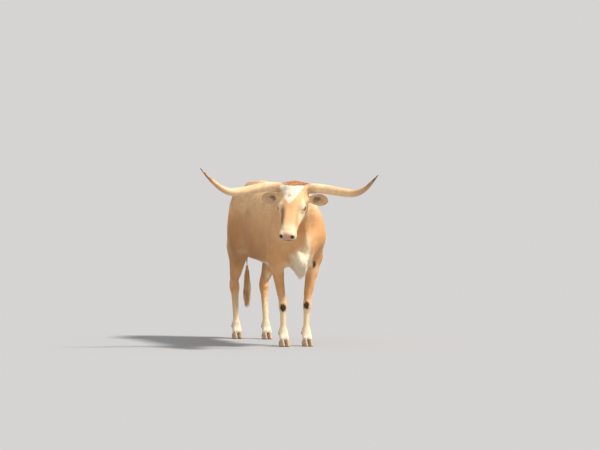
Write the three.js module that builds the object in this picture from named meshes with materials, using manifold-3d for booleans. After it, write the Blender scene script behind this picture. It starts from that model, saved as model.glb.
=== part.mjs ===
// A Texas longhorn steer, life size, standing square with its head turned to its right.
// Millimetres. X runs to the animal's left, Y towards its tail and Z up; the hooves stand on Z = 0.
// Flesh is a sum of muscle and bone masses, each a distance that is negative inside, melted into one
// surface, meshed on a grid and then parted by thin plane cuts into head, neck, torso, legs and tail.
import * as THREE from "three";
import { mergeVertices } from "three/addons/utils/BufferGeometryUtils.js";
import Module from "manifold-3d";

const wasm = await Module();
wasm.setup();

// Driving sizes of the animal
const HIP_HEIGHT = 1470;
const WITHERS_HEIGHT = 1440;
const BELLY_HEIGHT = 725;
const BARREL_HALF_WIDTH = 285;
const HEAD_LENGTH = 545;
const HORN_REACH = 795;
const HORN_BASE_RADIUS = 43;
const KNEE_HEIGHT = 372;
const HOCK_HEIGHT = 505;
const GAP = 0.3;

// How it stands: the head's turn, pitch and tilt in degrees, and where each hoof is set down
const POLL = { side: -178, ahead: 985, up: 1446 };
const HEAD_TURN = 29.5;
const HEAD_PITCH = 50;
const HEAD_TILT = 2.2;
const FORE_FEET = [
  { name: "right", side: -1, stance: 118, ahead: 500 },
  { name: "left", side: 1, stance: 94, ahead: 515 },
];
const HIND_FEET = [
  { name: "right", side: -1, stance: 130, ahead: -845, hockBack: 24 },
  { name: "left", side: 1, stance: 112, ahead: -690, hockBack: 78 },
];

// A point given as the animal would say it: to its left, ahead of its middle, above the ground.
const at = (side, ahead, up) => new THREE.Vector3(side, -ahead, up);
const rad = THREE.MathUtils.degToRad;

// Distance fields

// An ellipsoid; turn is an optional Euler that sets its axes.
function ball(centre, radii, melt, turn) {
  const [rx, ry, rz] = radii;
  const m = new THREE.Matrix3();
  if (turn) m.setFromMatrix4(new THREE.Matrix4().makeRotationFromEuler(turn).transpose());
  const e = m.elements;
  return {
    melt,
    d(x, y, z) {
      const dx = x - centre.x;
      const dy = y - centre.y;
      const dz = z - centre.z;
      const u = (e[0] * dx + e[3] * dy + e[6] * dz) / rx;
      const v = (e[1] * dx + e[4] * dy + e[7] * dz) / ry;
      const w = (e[2] * dx + e[5] * dy + e[8] * dz) / rz;
      const k0 = Math.sqrt(u * u + v * v + w * w);
      const k1 = Math.sqrt((u / rx) ** 2 + (v / ry) ** 2 + (w / rz) ** 2);
      return k1 < 1e-9 ? -Math.min(rx, ry, rz) : (k0 * (k0 - 1)) / k1;
    },
  };
}

// A tapered round bar from a to b; flat under 1 narrows it from side to side.
function bone(a, b, ra, rb, melt, flat = 1) {
  const ax = a.x / flat;
  const bx = b.x / flat - ax;
  const by = b.y - a.y;
  const bz = b.z - a.z;
  const l2 = bx * bx + by * by + bz * bz;
  const rr = ra - rb;
  const a2 = l2 - rr * rr;
  return {
    melt,
    d(x, y, z) {
      const px = x / flat - ax;
      const py = y - a.y;
      const pz = z - a.z;
      const h = px * bx + py * by + pz * bz;
      const g = h - l2;
      const qx = px * l2 - bx * h;
      const qy = py * l2 - by * h;
      const qz = pz * l2 - bz * h;
      const x2 = qx * qx + qy * qy + qz * qz;
      const h2 = h * h * l2;
      const g2 = g * g * l2;
      const k = Math.sign(rr) * rr * rr * x2;
      let s;
      if (Math.sign(g) * a2 * g2 > k) s = Math.sqrt(x2 + g2) / l2 - rb;
      else if (Math.sign(h) * a2 * h2 < k) s = Math.sqrt(x2 + h2) / l2 - ra;
      else s = (Math.sqrt((x2 * a2) / l2) + h * rr) / l2 - ra;
      return s * flat;
    },
  };
}

// The trunk, as stations along the spine: each has its place ahead, its top, its widest level, its
// bottom, its half width there, and how square its upper and lower halves are.
function trunk(stations, melt) {
  const n = stations.length;
  const row = (t) => {
    const i = Math.min(n - 2, Math.max(0, stations.findIndex((s) => s.ahead > t) - 1));
    const p = stations[Math.max(0, i - 1)];
    const q = stations[i];
    const r = stations[i + 1];
    const s = stations[Math.min(n - 1, i + 2)];
    const u = (t - q.ahead) / (r.ahead - q.ahead);
    const ease = (key) => {
      const m0 = ((r[key] - p[key]) / (r.ahead - p.ahead)) * (r.ahead - q.ahead);
      const m1 = ((s[key] - q[key]) / (s.ahead - q.ahead)) * (r.ahead - q.ahead);
      return (
        q[key] * (2 * u ** 3 - 3 * u * u + 1) +
        m0 * (u ** 3 - 2 * u * u + u) +
        r[key] * (3 * u * u - 2 * u ** 3) +
        m1 * (u ** 3 - u * u)
      );
    };
    return { top: ease("top"), wide: ease("wide"), bottom: ease("bottom"), half: ease("half") };
  };
  // Rows at every few millimetres, so that a look-up replaces the spline.
  const first = stations[0].ahead;
  const last = stations[n - 1].ahead;
  const STEP = 5;
  const rows = [];
  for (let t = first; t <= last; t += STEP) rows.push(row(Math.min(t, last - 0.01)));
  return {
    melt,
    d(x, y, z) {
      const ahead = Math.min(last, Math.max(first, -y));
      const f = (ahead - first) / STEP;
      const i = Math.min(rows.length - 2, Math.floor(f));
      const mix = (key) => rows[i][key] + (rows[i + 1][key] - rows[i][key]) * (f - i);
      const wide = mix("wide");
      const half = mix("half");
      const upper = z > wide;
      const tall = upper ? mix("top") - wide : wide - mix("bottom");
      const power = upper ? 1.85 : 2.35;
      const r = (Math.pow(Math.abs(x) / half, power) + Math.pow(Math.abs(z - wide) / tall, power)) ** (1 / power);
      const side = (r - 1) * Math.min(half, tall);
      const past = Math.abs(-y - ahead);
      return past > 0 ? Math.hypot(Math.max(side, 0), past) : side;
    },
  };
}

// Melts b into a over a width of k.
function melted(a, b, k) {
  const h = Math.max(k - Math.abs(a - b), 0) / k;
  return Math.min(a, b) - h * h * k * 0.25;
}

// Every mass of a list melted into one field; a mass with hollow set is carved out instead.
function body(masses) {
  return (x, y, z) => {
    let d = 1e6;
    for (const m of masses) {
      const own = m.d(x, y, z);
      d = m.hollow ? -melted(-d, own, m.melt) : melted(d, own, m.melt);
    }
    return d;
  };
}

const carved = (mass) => ({ ...mass, hollow: true });
const bothSides = (make) => [make(-1), make(1)];

// Trunk, shoulders and hindquarters

const TRUNK = [
  { ahead: -905, top: 1300, wide: 1210, bottom: 1120, half: 50 },
  { ahead: -860, top: 1385, wide: 1210, bottom: 1010, half: 120 },
  { ahead: -740, top: HIP_HEIGHT - 20, wide: 1200, bottom: 925, half: 185 },
  { ahead: -560, top: HIP_HEIGHT - 8, wide: 1190, bottom: 850, half: 215 },
  { ahead: -380, top: HIP_HEIGHT - 32, wide: 1110, bottom: BELLY_HEIGHT + 28, half: 236 },
  { ahead: -150, top: 1415, wide: 1040, bottom: BELLY_HEIGHT - 8, half: BARREL_HALF_WIDTH - 8 },
  { ahead: 60, top: 1402, wide: 1030, bottom: BELLY_HEIGHT - 14, half: BARREL_HALF_WIDTH },
  { ahead: 260, top: 1412, wide: 1050, bottom: BELLY_HEIGHT - 10, half: BARREL_HALF_WIDTH - 28 },
  { ahead: 430, top: WITHERS_HEIGHT, wide: 1080, bottom: BELLY_HEIGHT - 10, half: 210 },
  { ahead: 580, top: WITHERS_HEIGHT - 25, wide: 1090, bottom: BELLY_HEIGHT - 10, half: 178 },
  { ahead: 700, top: 1330, wide: 1060, bottom: BELLY_HEIGHT + 10, half: 140 },
  { ahead: 775, top: 1190, wide: 1010, bottom: 830, half: 80 },
];

const trunkMasses = [
  trunk(TRUNK, 1),
  // Spine ridge, hook bones, croup and pin bones
  bone(at(0, 480, WITHERS_HEIGHT - 48), at(0, 180, 1368), 42, 36, 70),
  bone(at(0, 180, 1366), at(0, -420, 1400), 36, 38, 70),
  bone(at(0, -430, HIP_HEIGHT - 55), at(0, -790, HIP_HEIGHT - 62), 50, 46, 70),
  ...bothSides((s) => bone(at(s * 60, -430, HIP_HEIGHT - 100), at(s * 196, -505, 1345), 50, 42, 90)),
  ...bothSides((s) => bone(at(s * 186, -530, 1310), at(s * 104, -845, 1255), 66, 56, 90)),
  // Shoulder blade, point of the shoulder and the muscle over the elbow
  ...bothSides((s) => bone(at(s * 88, 425, 1355), at(s * 140, 630, 1060), 62, 80, 70, 0.8)),
  ...bothSides((s) => ball(at(s * 166, 530, 1010), [70, 140, 165], 60, new THREE.Euler(0.25, 0, 0))),
  ...bothSides((s) => bone(at(s * 138, 660, 970), at(s * 182, 480, 800), 68, 58, 90)),
  // Brisket between the forelegs
  bone(at(0, 690, 905), at(0, 580, 750), 84, 62, 80, 0.8),
  bone(at(-12, 690, 715), at(-4, 560, 712), 34, 26, 60, 0.7),
  bone(at(-20, 706, 668), at(-16, 650, 652), 24, 20, 50, 0.65),
  // Navel fold and sheath of a steer
  bone(at(0, -60, BELLY_HEIGHT + 12), at(0, -215, BELLY_HEIGHT + 18), 26, 30, 60),
  // Hollow of the flank behind the last rib
  ...bothSides((s) => carved(ball(at(s * 330, -345, 1235), [92, 105, 120], 90))),
  // Skin fold from the belly to the stifle
  ...bothSides((s) => bone(at(s * 150, -330, 850), at(s * 178, -440, 905), 40, 62, 90, 0.7)),
];

// Legs, each built down from the body to its own footfall

function foreLeg({ side: s, stance, ahead }) {
  const knee = at(s * (stance + 6), ahead + 12, KNEE_HEIGHT);
  const fetlock = at(s * stance, ahead, 142);
  return [
    ball(at(s * 188, 440, 800), [48, 56, 66], 80),
    bone(at(s * 184, 492, 800), at(s * (stance + 14), ahead + 6, KNEE_HEIGHT + 60), 76, 38, 50, 0.8),
    bone(at(s * 172, 450, 760), at(s * (stance + 12), ahead - 12, KNEE_HEIGHT + 90), 44, 28, 40),
    ball(knee, [40, 44, 62], 26),
    ball(at(s * (stance + 6), ahead - 26, KNEE_HEIGHT - 4), [22, 22, 34], 24),
    bone(at(s * (stance + 4), ahead + 8, KNEE_HEIGHT - 40), at(s * stance, ahead + 6, 170), 29, 26, 22),
    bone(at(s * (stance + 3), ahead - 22, KNEE_HEIGHT - 40), at(s * stance, ahead - 20, 168), 17, 17, 22),
    ...foot(fetlock, s, ahead, stance),
  ];
}

function hindLeg({ side: s, stance, ahead, hockBack }) {
  const swing = (ahead + 770) * 0.55;
  const back = ahead - hockBack;
  const hock = at(s * (stance + 12), back, HOCK_HEIGHT);
  const stifle = at(s * 186, -440 + swing * 0.25, 905);
  const fetlock = at(s * stance, ahead, 145);
  return [
    bone(at(s * 118, -600, 1190), stifle, 150, 100, 90, 0.85),
    ball(at(s * 162, -640, 1030), [90, 190, 200], 90),
    bone(at(s * 112, -812, 1235), at(s * 168, -768 + swing * 0.2, 880), 84, 80, 80, 0.85),
    bone(at(s * 170, -560 + swing * 0.3, 880), at(s * (stance + 20), back + 50, HOCK_HEIGHT + 85), 112, 45, 70, 0.85),
    bone(at(s * 172, -760 + swing * 0.4, 850), at(s * (stance + 14), back - 42, HOCK_HEIGHT + 48), 62, 20, 50, 0.85),
    ball(hock, [37, 50, 66], 30),
    ball(at(s * (stance + 13), back - 44, HOCK_HEIGHT + 26), [22, 24, 40], 26),
    bone(at(s * (stance + 8), back + 8, HOCK_HEIGHT - 40), at(s * stance, ahead + 4, 172), 33, 27, 24),
    bone(at(s * (stance + 8), back - 28, HOCK_HEIGHT - 20), at(s * stance, ahead - 22, 170), 20, 18, 24),
    ...foot(fetlock, s, ahead, stance),
  ];
}

// Fetlock, two dewclaws, and the two digits that end in the claws
const CLAW_SPREAD = 25;
function foot(fetlock, s, ahead, stance) {
  return [
    ball(fetlock, [37, 39, 36], 20),
    ...[-1, 1].flatMap((c) => [
      ball(at(s * stance + c * 22, ahead - 38, 122), [13, 14, 19], 10),
      bone(
        at(s * stance + c * 15, ahead + 8, 128),
        at(s * stance + c * CLAW_SPREAD, ahead + 34, 62),
        27,
        25,
        16,
        0.92,
      ),
    ]),
  ];
}

// Neck, from the withers to the poll, bending to the right

const crown = new THREE.Matrix4()
  .makeTranslation(POLL.side, -POLL.ahead, POLL.up)
  .multiply(new THREE.Matrix4().makeRotationZ(rad(-HEAD_TURN)))
  .multiply(new THREE.Matrix4().makeRotationY(rad(HEAD_TILT)));
const headPose = crown.clone().multiply(new THREE.Matrix4().makeRotationX(rad(HEAD_PITCH)));
const fromHead = (p) => p.clone().applyMatrix4(headPose);

const nape = fromHead(at(0, 20, -62));
const occiput = fromHead(at(0, 58, -140));
const throat = fromHead(at(0, 122, -205));

const neckMasses = [
  bone(at(0, 440, 1310), nape, 96, 56, 70, 0.72),
  bone(at(0, 520, 1130), occiput, 205, 92, 80, 0.72),
  bone(at(-4, 640, 960), throat, 128, 62, 80, 0.72),
  // Muscle from the shoulder to the jaw on each side
  ...bothSides((s) => bone(at(s * 120, 610, 1130), fromHead(at(s * 48, 70, -170)), 84, 52, 70, 0.8)),
  // Dewlap: a fold of skin from the throat down to the brisket
  bone(fromHead(at(0, 150, -262)), at(-70, 850, 905), 24, 36, 50, 0.8),
  bone(at(-70, 850, 905), at(-30, 765, 745), 32, 32, 50, 0.7),
  bone(at(-30, 765, 745), at(-20, 708, 668), 32, 26, 50, 0.65),
];

// Head, in its own frame: poll at the origin, muzzle ahead, brow up

const EYE = { side: 101, ahead: 212, up: -66, radius: 20 };
const HORN_SEAT = { side: 128, ahead: 4, up: -50 };
const EAR_SEAT = { side: 122, ahead: 86, up: -101 };
const NOSTRIL = { side: 50, ahead: 522, up: -92 };
const MUZZLE = HEAD_LENGTH - 62;

const headMasses = [
  // Braincase, flat brow and the two horn stalks
  ball(at(0, 62, -78), [104, 92, 84], 1),
  ball(at(0, 150, -66), [98, 118, 66], 40),
  bone(at(-96, 12, -48), at(96, 12, -48), 46, 46, 30),
  ...bothSides((s) => bone(at(s * 70, 14, -48), at(s * 170, 2, -50), 48, 41, 24)),
  // Mound of skin under the poll's hair
  ball(at(0, -2, -30), [80, 38, 28], 24),
  // Eye sockets and brow ridge
  ...bothSides((s) => ball(at(s * 90, 210, -68), [38, 46, 42], 26)),
  ...bothSides((s) => ball(at(s * EYE.side, EYE.ahead, EYE.up), [25, 26, 25], 10)),
  ...bothSides((s) => bone(at(s * 72, 150, -40), at(s * 92, 208, -40), 24, 18, 24)),
  // Bridge of the nose, straight and flat on top
  ...bothSides((s) => bone(at(s * 30, 180, -52), at(s * 22, MUZZLE - 40, -78), 48, 34, 34)),
  // Upper jaw, cheek and the deep corner of the lower jaw
  ...bothSides((s) => bone(at(s * 46, 262, -122), at(s * 30, 430, -114), 50, 40, 36)),
  ...bothSides((s) => ball(at(s * 56, 178, -172), [38, 84, 78], 36)),
  ...bothSides((s) => bone(at(s * 44, 196, -214), at(s * 22, MUZZLE - 30, -156), 30, 24, 44)),
  ball(at(0, 120, -180), [66, 92, 84], 50),
  // Muzzle: nose, upper lip on each side, and chin
  ball(at(0, MUZZLE - 2, -104), [74, 52, 54], 30),
  ball(at(0, MUZZLE + 18, -88), [58, 34, 34], 20),
  ...bothSides((s) => ball(at(s * 44, MUZZLE, -126), [34, 44, 28], 18)),
  ball(at(0, MUZZLE - 14, -160), [46, 46, 24], 18),
  // Wing of each nostril
  ...bothSides((s) => ball(at(s * 52, MUZZLE + 22, -88), [18, 24, 26], 12)),
  // Ear root
  ...bothSides((s) =>
    bone(at(s * 80, EAR_SEAT.ahead - 4, EAR_SEAT.up), at(s * 150, EAR_SEAT.ahead, EAR_SEAT.up), 34, 27, 22),
  ),
];

// Tail: out from the croup and straight down behind the thighs, its hair reaching below the hocks

const TAIL = [
  { p: at(0, -780, 1428), r: 44 },
  { p: at(0, -880, 1404), r: 37 },
  { p: at(2, -946, 1315), r: 28 },
  { p: at(6, -960, 1180), r: 23 },
  { p: at(12, -960, 980), r: 19 },
  { p: at(14, -957, 780), r: 16 },
  { p: at(12, -955, 640), r: 14 },
];
const tailRoot = TAIL.slice(1, 3).map((b, i) => bone(TAIL[i].p, b.p, TAIL[i].r, b.r, 50));

// The whole of the flesh as one field

const headField = body(headMasses);
const toHead = headPose.clone().invert().elements;
const inHead = {
  melt: 60,
  d(x, y, z) {
    const e = toHead;
    return headField(
      e[0] * x + e[4] * y + e[8] * z + e[12],
      e[1] * x + e[5] * y + e[9] * z + e[13],
      e[2] * x + e[6] * y + e[10] * z + e[14],
    );
  },
};
const foreLegs = FORE_FEET.map(foreLeg);
const hindLegs = HIND_FEET.map(hindLeg);
const flesh = body([...trunkMasses, ...neckMasses, ...foreLegs.flat(), ...hindLegs.flat(), ...tailRoot, inHead]);
const headAndNeck = body([...neckMasses, inHead]);

// Grid values between two ends, at about the given step
function gridLine(from, to, step) {
  const n = Math.max(1, Math.round(Math.abs(to - from) / step));
  return Array.from({ length: n + 1 }, (_, i) => from + ((to - from) * i) / n);
}

// Grid values from band to band: where it starts, then pairs of a step and where that band ends
function bands(start, ...pairs) {
  const values = [start];
  for (let i = 0; i < pairs.length; i += 2) values.push(...gridLine(values.at(-1), pairs[i + 1], pairs[i]).slice(1));
  return values;
}

// Slides a point along the field's slope on to the surface, by at most part of a cell.
function onSurface(value, x, y, z, cell) {
  const REACH = 0.7 * cell;
  const H = 0.5;
  const start = [x, y, z];
  for (let step = 0; step < 3; step++) {
    const d = value(x, y, z);
    const gx = (value(x + H, y, z) - value(x - H, y, z)) / (2 * H);
    const gy = (value(x, y + H, z) - value(x, y - H, z)) / (2 * H);
    const gz = (value(x, y, z + H) - value(x, y, z - H)) / (2 * H);
    const g2 = Math.max(gx * gx + gy * gy + gz * gz, 0.1);
    x -= (d * gx) / g2;
    y -= (d * gy) / g2;
    z -= (d * gz) / g2;
  }
  const far = Math.hypot(x - start[0], y - start[1], z - start[2]);
  return far > REACH ? start : [x, y, z];
}

// Where only two opposite corners of a grid square are inside, two sheets would meet along an edge:
// the corner nearest to the surface changes sides.
function untwist(f, [nx, ny, nz]) {
  const strides = [1, nx, nx * ny];
  const counts = [nx, ny, nz];
  const squares = [
    [0, 1],
    [1, 2],
    [2, 0],
  ];
  for (let pass = 0, turned = 1; turned && pass < 12; pass++) {
    turned = 0;
    for (const [p, q] of squares)
      for (let k = 0; k < nz; k++)
        for (let j = 0; j < ny; j++)
          for (let i = 0; i < nx; i++) {
            const at = [i, j, k];
            if (at[p] === counts[p] - 1 || at[q] === counts[q] - 1) continue;
            const a = i + j * nx + k * nx * ny;
            const corners = [a, a + strides[p], a + strides[p] + strides[q], a + strides[q]];
            const inside = corners.map((c) => f[c] <= 0);
            if (inside[0] !== inside[2] || inside[1] !== inside[3] || inside[0] === inside[1]) continue;
            const nearest = corners.reduce((b, c) => (Math.abs(f[c]) < Math.abs(f[b]) ? c : b));
            f[nearest] = f[nearest] > 0 ? -1e-3 : 1e-3;
            turned++;
          }
  }
}

// Meshes the surface of a field: one vertex in each grid cell that the surface crosses, slid on to
// the surface, and one four-sided face for each grid edge that it crosses. place maps the grid's
// frame to the field's.
function meshed(field, xs, ys, zs, place) {
  const [nx, ny, nz] = [xs.length, ys.length, zs.length];
  const spot = new THREE.Vector3();
  const value = place
    ? (x, y, z) => {
        spot.set(x, y, z).applyMatrix4(place);
        return field(spot.x, spot.y, spot.z);
      }
    : field;
  const index = (i, j, k) => (k * ny + j) * nx + i;
  const f = new Float64Array(nx * ny * nz);
  for (let k = 0; k < nz; k++)
    for (let j = 0; j < ny; j++)
      for (let i = 0; i < nx; i++) {
        const rim = i === 0 || j === 0 || k === 0 || i === nx - 1 || j === ny - 1 || k === nz - 1;
        const d = value(xs[i], ys[j], zs[k]);
        f[index(i, j, k)] = rim ? Math.max(d, 0.5) : d || 1e-6;
      }
  untwist(f, [nx, ny, nz]);
  const points = [];
  const owner = new Int32Array(nx * ny * nz).fill(-1);
  const sum = [0, 0, 0];
  let crossings = 0;
  const cross = (i, j, k, a, b) => {
    const fa = f[index(i + a[0], j + a[1], k + a[2])];
    const fb = f[index(i + b[0], j + b[1], k + b[2])];
    if (fa > 0 === fb > 0) return;
    const t = fa / (fa - fb);
    sum[0] += xs[i + a[0]] + (xs[i + b[0]] - xs[i + a[0]]) * t;
    sum[1] += ys[j + a[1]] + (ys[j + b[1]] - ys[j + a[1]]) * t;
    sum[2] += zs[k + a[2]] + (zs[k + b[2]] - zs[k + a[2]]) * t;
    crossings++;
  };
  for (let k = 0; k < nz - 1; k++)
    for (let j = 0; j < ny - 1; j++)
      for (let i = 0; i < nx - 1; i++) {
        sum.fill(0);
        crossings = 0;
        for (const u of [0, 1])
          for (const v of [0, 1]) {
            cross(i, j, k, [0, u, v], [1, u, v]);
            cross(i, j, k, [u, 0, v], [u, 1, v]);
            cross(i, j, k, [u, v, 0], [u, v, 1]);
          }
        if (!crossings) continue;
        owner[index(i, j, k)] = points.length / 3;
        const cell = Math.min(xs[i + 1] - xs[i], ys[j + 1] - ys[j], zs[k + 1] - zs[k]);
        points.push(...onSurface(value, sum[0] / crossings, sum[1] / crossings, sum[2] / crossings, cell));
      }
  const faces = [];
  const quad = (a, b, c, d, flip) => {
    if (flip) faces.push(a, c, b, a, d, c);
    else faces.push(a, b, c, a, c, d);
  };
  for (let k = 0; k < nz; k++)
    for (let j = 0; j < ny; j++)
      for (let i = 0; i < nx; i++) {
        const out = f[index(i, j, k)] > 0;
        const o = (a, b, c) => owner[index(i - a, j - b, k - c)];
        if (i < nx - 1 && j && k && out !== f[index(i + 1, j, k)] > 0)
          quad(o(0, 1, 1), o(0, 0, 1), o(0, 0, 0), o(0, 1, 0), out);
        if (j < ny - 1 && i && k && out !== f[index(i, j + 1, k)] > 0)
          quad(o(1, 0, 1), o(1, 0, 0), o(0, 0, 0), o(0, 0, 1), out);
        if (k < nz - 1 && i && j && out !== f[index(i, j, k + 1)] > 0)
          quad(o(1, 1, 0), o(0, 1, 0), o(0, 0, 0), o(1, 0, 0), out);
      }
  return largest(solid(points, faces));
}

// A closed solid from vertices and triangles, with its faces turned outwards
function solid(points, faces) {
  const make = (triVerts) =>
    new wasm.Manifold(new wasm.Mesh({ numProp: 3, vertProperties: new Float32Array(points), triVerts }));
  const made = make(new Uint32Array(faces));
  if (made.volume() > 0) return made;
  const turned = new Uint32Array(faces);
  for (let i = 0; i < turned.length; i += 3) [turned[i + 1], turned[i + 2]] = [turned[i + 2], turned[i + 1]];
  return make(turned);
}

// Walls between equal rings of points and a fan over each end make a closed solid.
function skinned(rings) {
  const sides = rings[0].length;
  const points = rings.flat().flatMap((p) => [p.x, p.y, p.z]);
  const faces = [];
  for (let i = 0; i < rings.length - 1; i++)
    for (let j = 0; j < sides; j++) {
      const a = i * sides + j;
      const b = i * sides + ((j + 1) % sides);
      faces.push(a, b, b + sides, a, b + sides, a + sides);
    }
  for (const [ring, flip] of [
    [0, true],
    [rings.length - 1, false],
  ]) {
    const middle = new THREE.Vector3();
    for (const p of rings[ring]) middle.addScaledVector(p, 1 / sides);
    const c = points.length / 3;
    points.push(middle.x, middle.y, middle.z);
    for (let j = 0; j < sides; j++) {
      const a = ring * sides + j;
      const b = ring * sides + ((j + 1) % sides);
      faces.push(c, flip ? b : a, flip ? a : b);
    }
  }
  return solid(points, faces);
}

// A round tube of changing thickness through stations, each a point p and a radius r
function tube(stations, sides, steps) {
  const curve = new THREE.CatmullRomCurve3(
    stations.map((s) => s.p),
    false,
    "centripetal",
  );
  const frames = curve.computeFrenetFrames(steps, false);
  return skinned(
    Array.from({ length: steps + 1 }, (_, i) => {
      const f = curve.getUtoTmapping(i / steps) * (stations.length - 1);
      const q = Math.min(stations.length - 2, Math.floor(f));
      const r = THREE.MathUtils.lerp(stations[q].r, stations[q + 1].r, f - q);
      const centre = curve.getPointAt(i / steps);
      return Array.from({ length: sides }, (_, j) => {
        const a = (2 * Math.PI * j) / sides;
        return centre
          .clone()
          .addScaledVector(frames.normals[i], r * Math.cos(a))
          .addScaledVector(frames.binormals[i], r * Math.sin(a));
      });
    }),
  );
}

// A three.js geometry as a solid, placed by a matrix
function solidOf(geometry, matrix) {
  geometry.deleteAttribute("normal");
  geometry.deleteAttribute("uv");
  geometry.applyMatrix4(matrix);
  const merged = mergeVertices(geometry, 1e-4);
  return solid(merged.attributes.position.array, merged.index.array);
}

// The matrix that puts something at p, turned so that its own Z points along n
function facing(p, n, scale = new THREE.Vector3(1, 1, 1)) {
  const turn = new THREE.Quaternion().setFromUnitVectors(new THREE.Vector3(0, 0, 1), n.clone().normalize());
  return new THREE.Matrix4().compose(p, turn, scale);
}

// A huge block with one face through p, filling the side that n points to
function beyond(p, n, shift = GAP / 2) {
  const SIZE = 4000;
  const centre = p.clone().addScaledVector(n.clone().normalize(), SIZE / 2 + shift);
  return solidOf(new THREE.BoxGeometry(SIZE, SIZE, SIZE), facing(centre, n));
}
const past = (cut) => beyond(cut.p, cut.n);
const before = (cut) => beyond(cut.p, cut.n.clone().negate());

// A block between two corners, each side drawn in by the given amount
function block(from, to, inset = GAP / 2) {
  const low = from.clone().min(to).addScalar(inset);
  const high = from.clone().max(to).addScalar(-inset);
  const size = high.clone().sub(low);
  const middle = low.add(high).multiplyScalar(0.5);
  return solidOf(
    new THREE.BoxGeometry(size.x, size.y, size.z),
    new THREE.Matrix4().makeTranslation(middle.x, middle.y, middle.z),
  );
}

// The largest closed body of a solid
function largest(s) {
  return s.decompose().reduce((a, b) => (b.volume() > a.volume() ? b : a));
}

// The point of a field's surface that a line from outside meets on its way to a point within
function skinPoint(field, outside, inside) {
  const d = inside.clone().sub(outside).normalize();
  const p = outside.clone();
  for (let i = 0; i < 200 && field(p.x, p.y, p.z) > 0.1; i++)
    p.addScaledVector(d, Math.max(0.2, 0.7 * field(p.x, p.y, p.z)));
  return p;
}

// A flat lock of hair: its root is sunk in the skin at p, it rises along n, lies over along d and
// thins to its tip.
function lock(p, n, d, { length, width, thick, sink, lift, fall = 0 }) {
  const across = new THREE.Vector3().crossVectors(n, d).normalize();
  return skinned(
    [0, 0.34, 0.72, 1].map((t) => {
      const rise = THREE.MathUtils.lerp(-sink, lift, THREE.MathUtils.smoothstep(t, 0, 0.5)) - fall * t * t;
      const wide = (width / 2) * Math.max(0.07, 0.75 + 0.9 * t - 1.6 * t * t);
      const deep = (thick / 2) * Math.max(0.16, 1 - 0.85 * t);
      const centre = p.clone().addScaledVector(d, length * t).addScaledVector(n, rise);
      return [
        centre.clone().addScaledVector(across, wide).addScaledVector(n, -deep),
        centre.clone().addScaledVector(n, deep),
        centre.clone().addScaledVector(across, -wide).addScaledVector(n, -deep),
      ];
    }),
  );
}

// Repeatable scatter between -1 and 1
let seed = 7;
function scatter() {
  seed = (seed * 16807) % 2147483647;
  return (seed / 2147483647) * 2 - 1;
}

// Cutting planes: each has a point on it and the direction in which the part beyond lies.
const CUTS = {
  // From the withers down to the front of the chest
  neck: { p: at(0, 652, 1120), n: at(-0.08, 0.905, 0.42) },
  // Behind the poll, the ears and the corner of the jaw
  head: { p: fromHead(at(0, 13, -140)), n: at(0, 0.85, 0.527).transformDirection(headPose) },
  // From the flank up to the buttock, the thigh lying below
  thigh: { p: at(0, -640, 840), n: at(0, -0.36, -1) },
  // Just behind the buttocks, where only the tail reaches
  tail: { p: at(0, -922, 1378), n: at(0, -1, 0) },
};
const ELBOW_CUT = 700;
const KNEE_CUT = KNEE_HEIGHT + 4;
const HOCK_CUT = HOCK_HEIGHT - 4;

// Nodes and their colours

const longhorn = new THREE.Group();
longhorn.name = "texas_longhorn";
const finish = (color, roughness) => new THREE.MeshStandardMaterial({ color, roughness, metalness: 0 });
const TAN_COAT = finish(0xc58e58, 0.85);
const FACE_COAT = finish(0xdcb27c, 0.85);
const PALE_COAT = finish(0xd9c6a0, 0.85);
const HORN = finish(0xdcbd92, 0.45);
const HOOF = finish(0x8a7358, 0.6);
const EYE_DARK = finish(0x140c08, 0.12);

function addNode(name, made, material, place) {
  const m = largest(made).getMesh();
  const positions = new Float32Array(m.numVert * 3);
  for (let i = 0; i < m.numVert; i++) {
    const from = i * m.numProp;
    positions.set(m.vertProperties.subarray(from, from + 3), i * 3);
  }
  const geometry = new THREE.BufferGeometry();
  geometry.setAttribute("position", new THREE.BufferAttribute(positions, 3));
  geometry.setIndex(new THREE.BufferAttribute(m.triVerts, 1));
  geometry.computeVertexNormals();
  const mesh = new THREE.Mesh(geometry, material);
  mesh.name = name;
  if (place) mesh.applyMatrix4(place);
  longhorn.add(mesh);
}

// Torso: everything between the neck, the elbows, the thighs and the tail

const foreBox = (s, inset) => block(at(s * 62, 330, -50), at(s * 420, 640, ELBOW_CUT), inset);
const hindBox = (s, inset) =>
  block(at(s * 1, -345, -50), at(s * 420, -1000, 1100), inset).intersect(beyond(CUTS.thigh.p, CUTS.thigh.n, inset));
let torso = meshed(
  flesh,
  bands(-345, 60, -75, 42, 75, 60, 345),
  bands(-1000, 66, 1030),
  bands(600, 44, 770, 64, 1540),
);
torso = torso.intersect(before(CUTS.neck)).intersect(before(CUTS.tail));
for (const s of [-1, 1]) torso = torso.subtract(foreBox(s, -GAP / 2)).subtract(hindBox(s, -GAP / 2));
addNode("torso", torso, TAN_COAT);

// The seats of the horns and ears: a drum over each, beyond which the head is cut away
function seatDrums(place) {
  const LONG = 300;
  return [-1, 1].flatMap((s) =>
    [
      [HORN_SEAT, 72],
      [EAR_SEAT, 62],
    ].map(([seat, r]) => {
      const middle = at(s * (seat.side - GAP / 2 + LONG / 2), seat.ahead, seat.up);
      const matrix = place.clone().multiply(new THREE.Matrix4().makeTranslation(middle.x, middle.y, middle.z));
      return solidOf(new THREE.CylinderGeometry(r, r, LONG, 16).rotateZ(Math.PI / 2), matrix);
    }),
  );
}

let neck = meshed(flesh, bands(-420, 40, 340), bands(-1290, 40, -440), bands(560, 40, 1560));
neck = neck.intersect(past(CUTS.neck)).intersect(before(CUTS.head));
for (const drum of seatDrums(headPose)) neck = neck.subtract(drum);
addNode("neck", neck, TAN_COAT);

// Legs, and two claws on each foot

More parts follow.
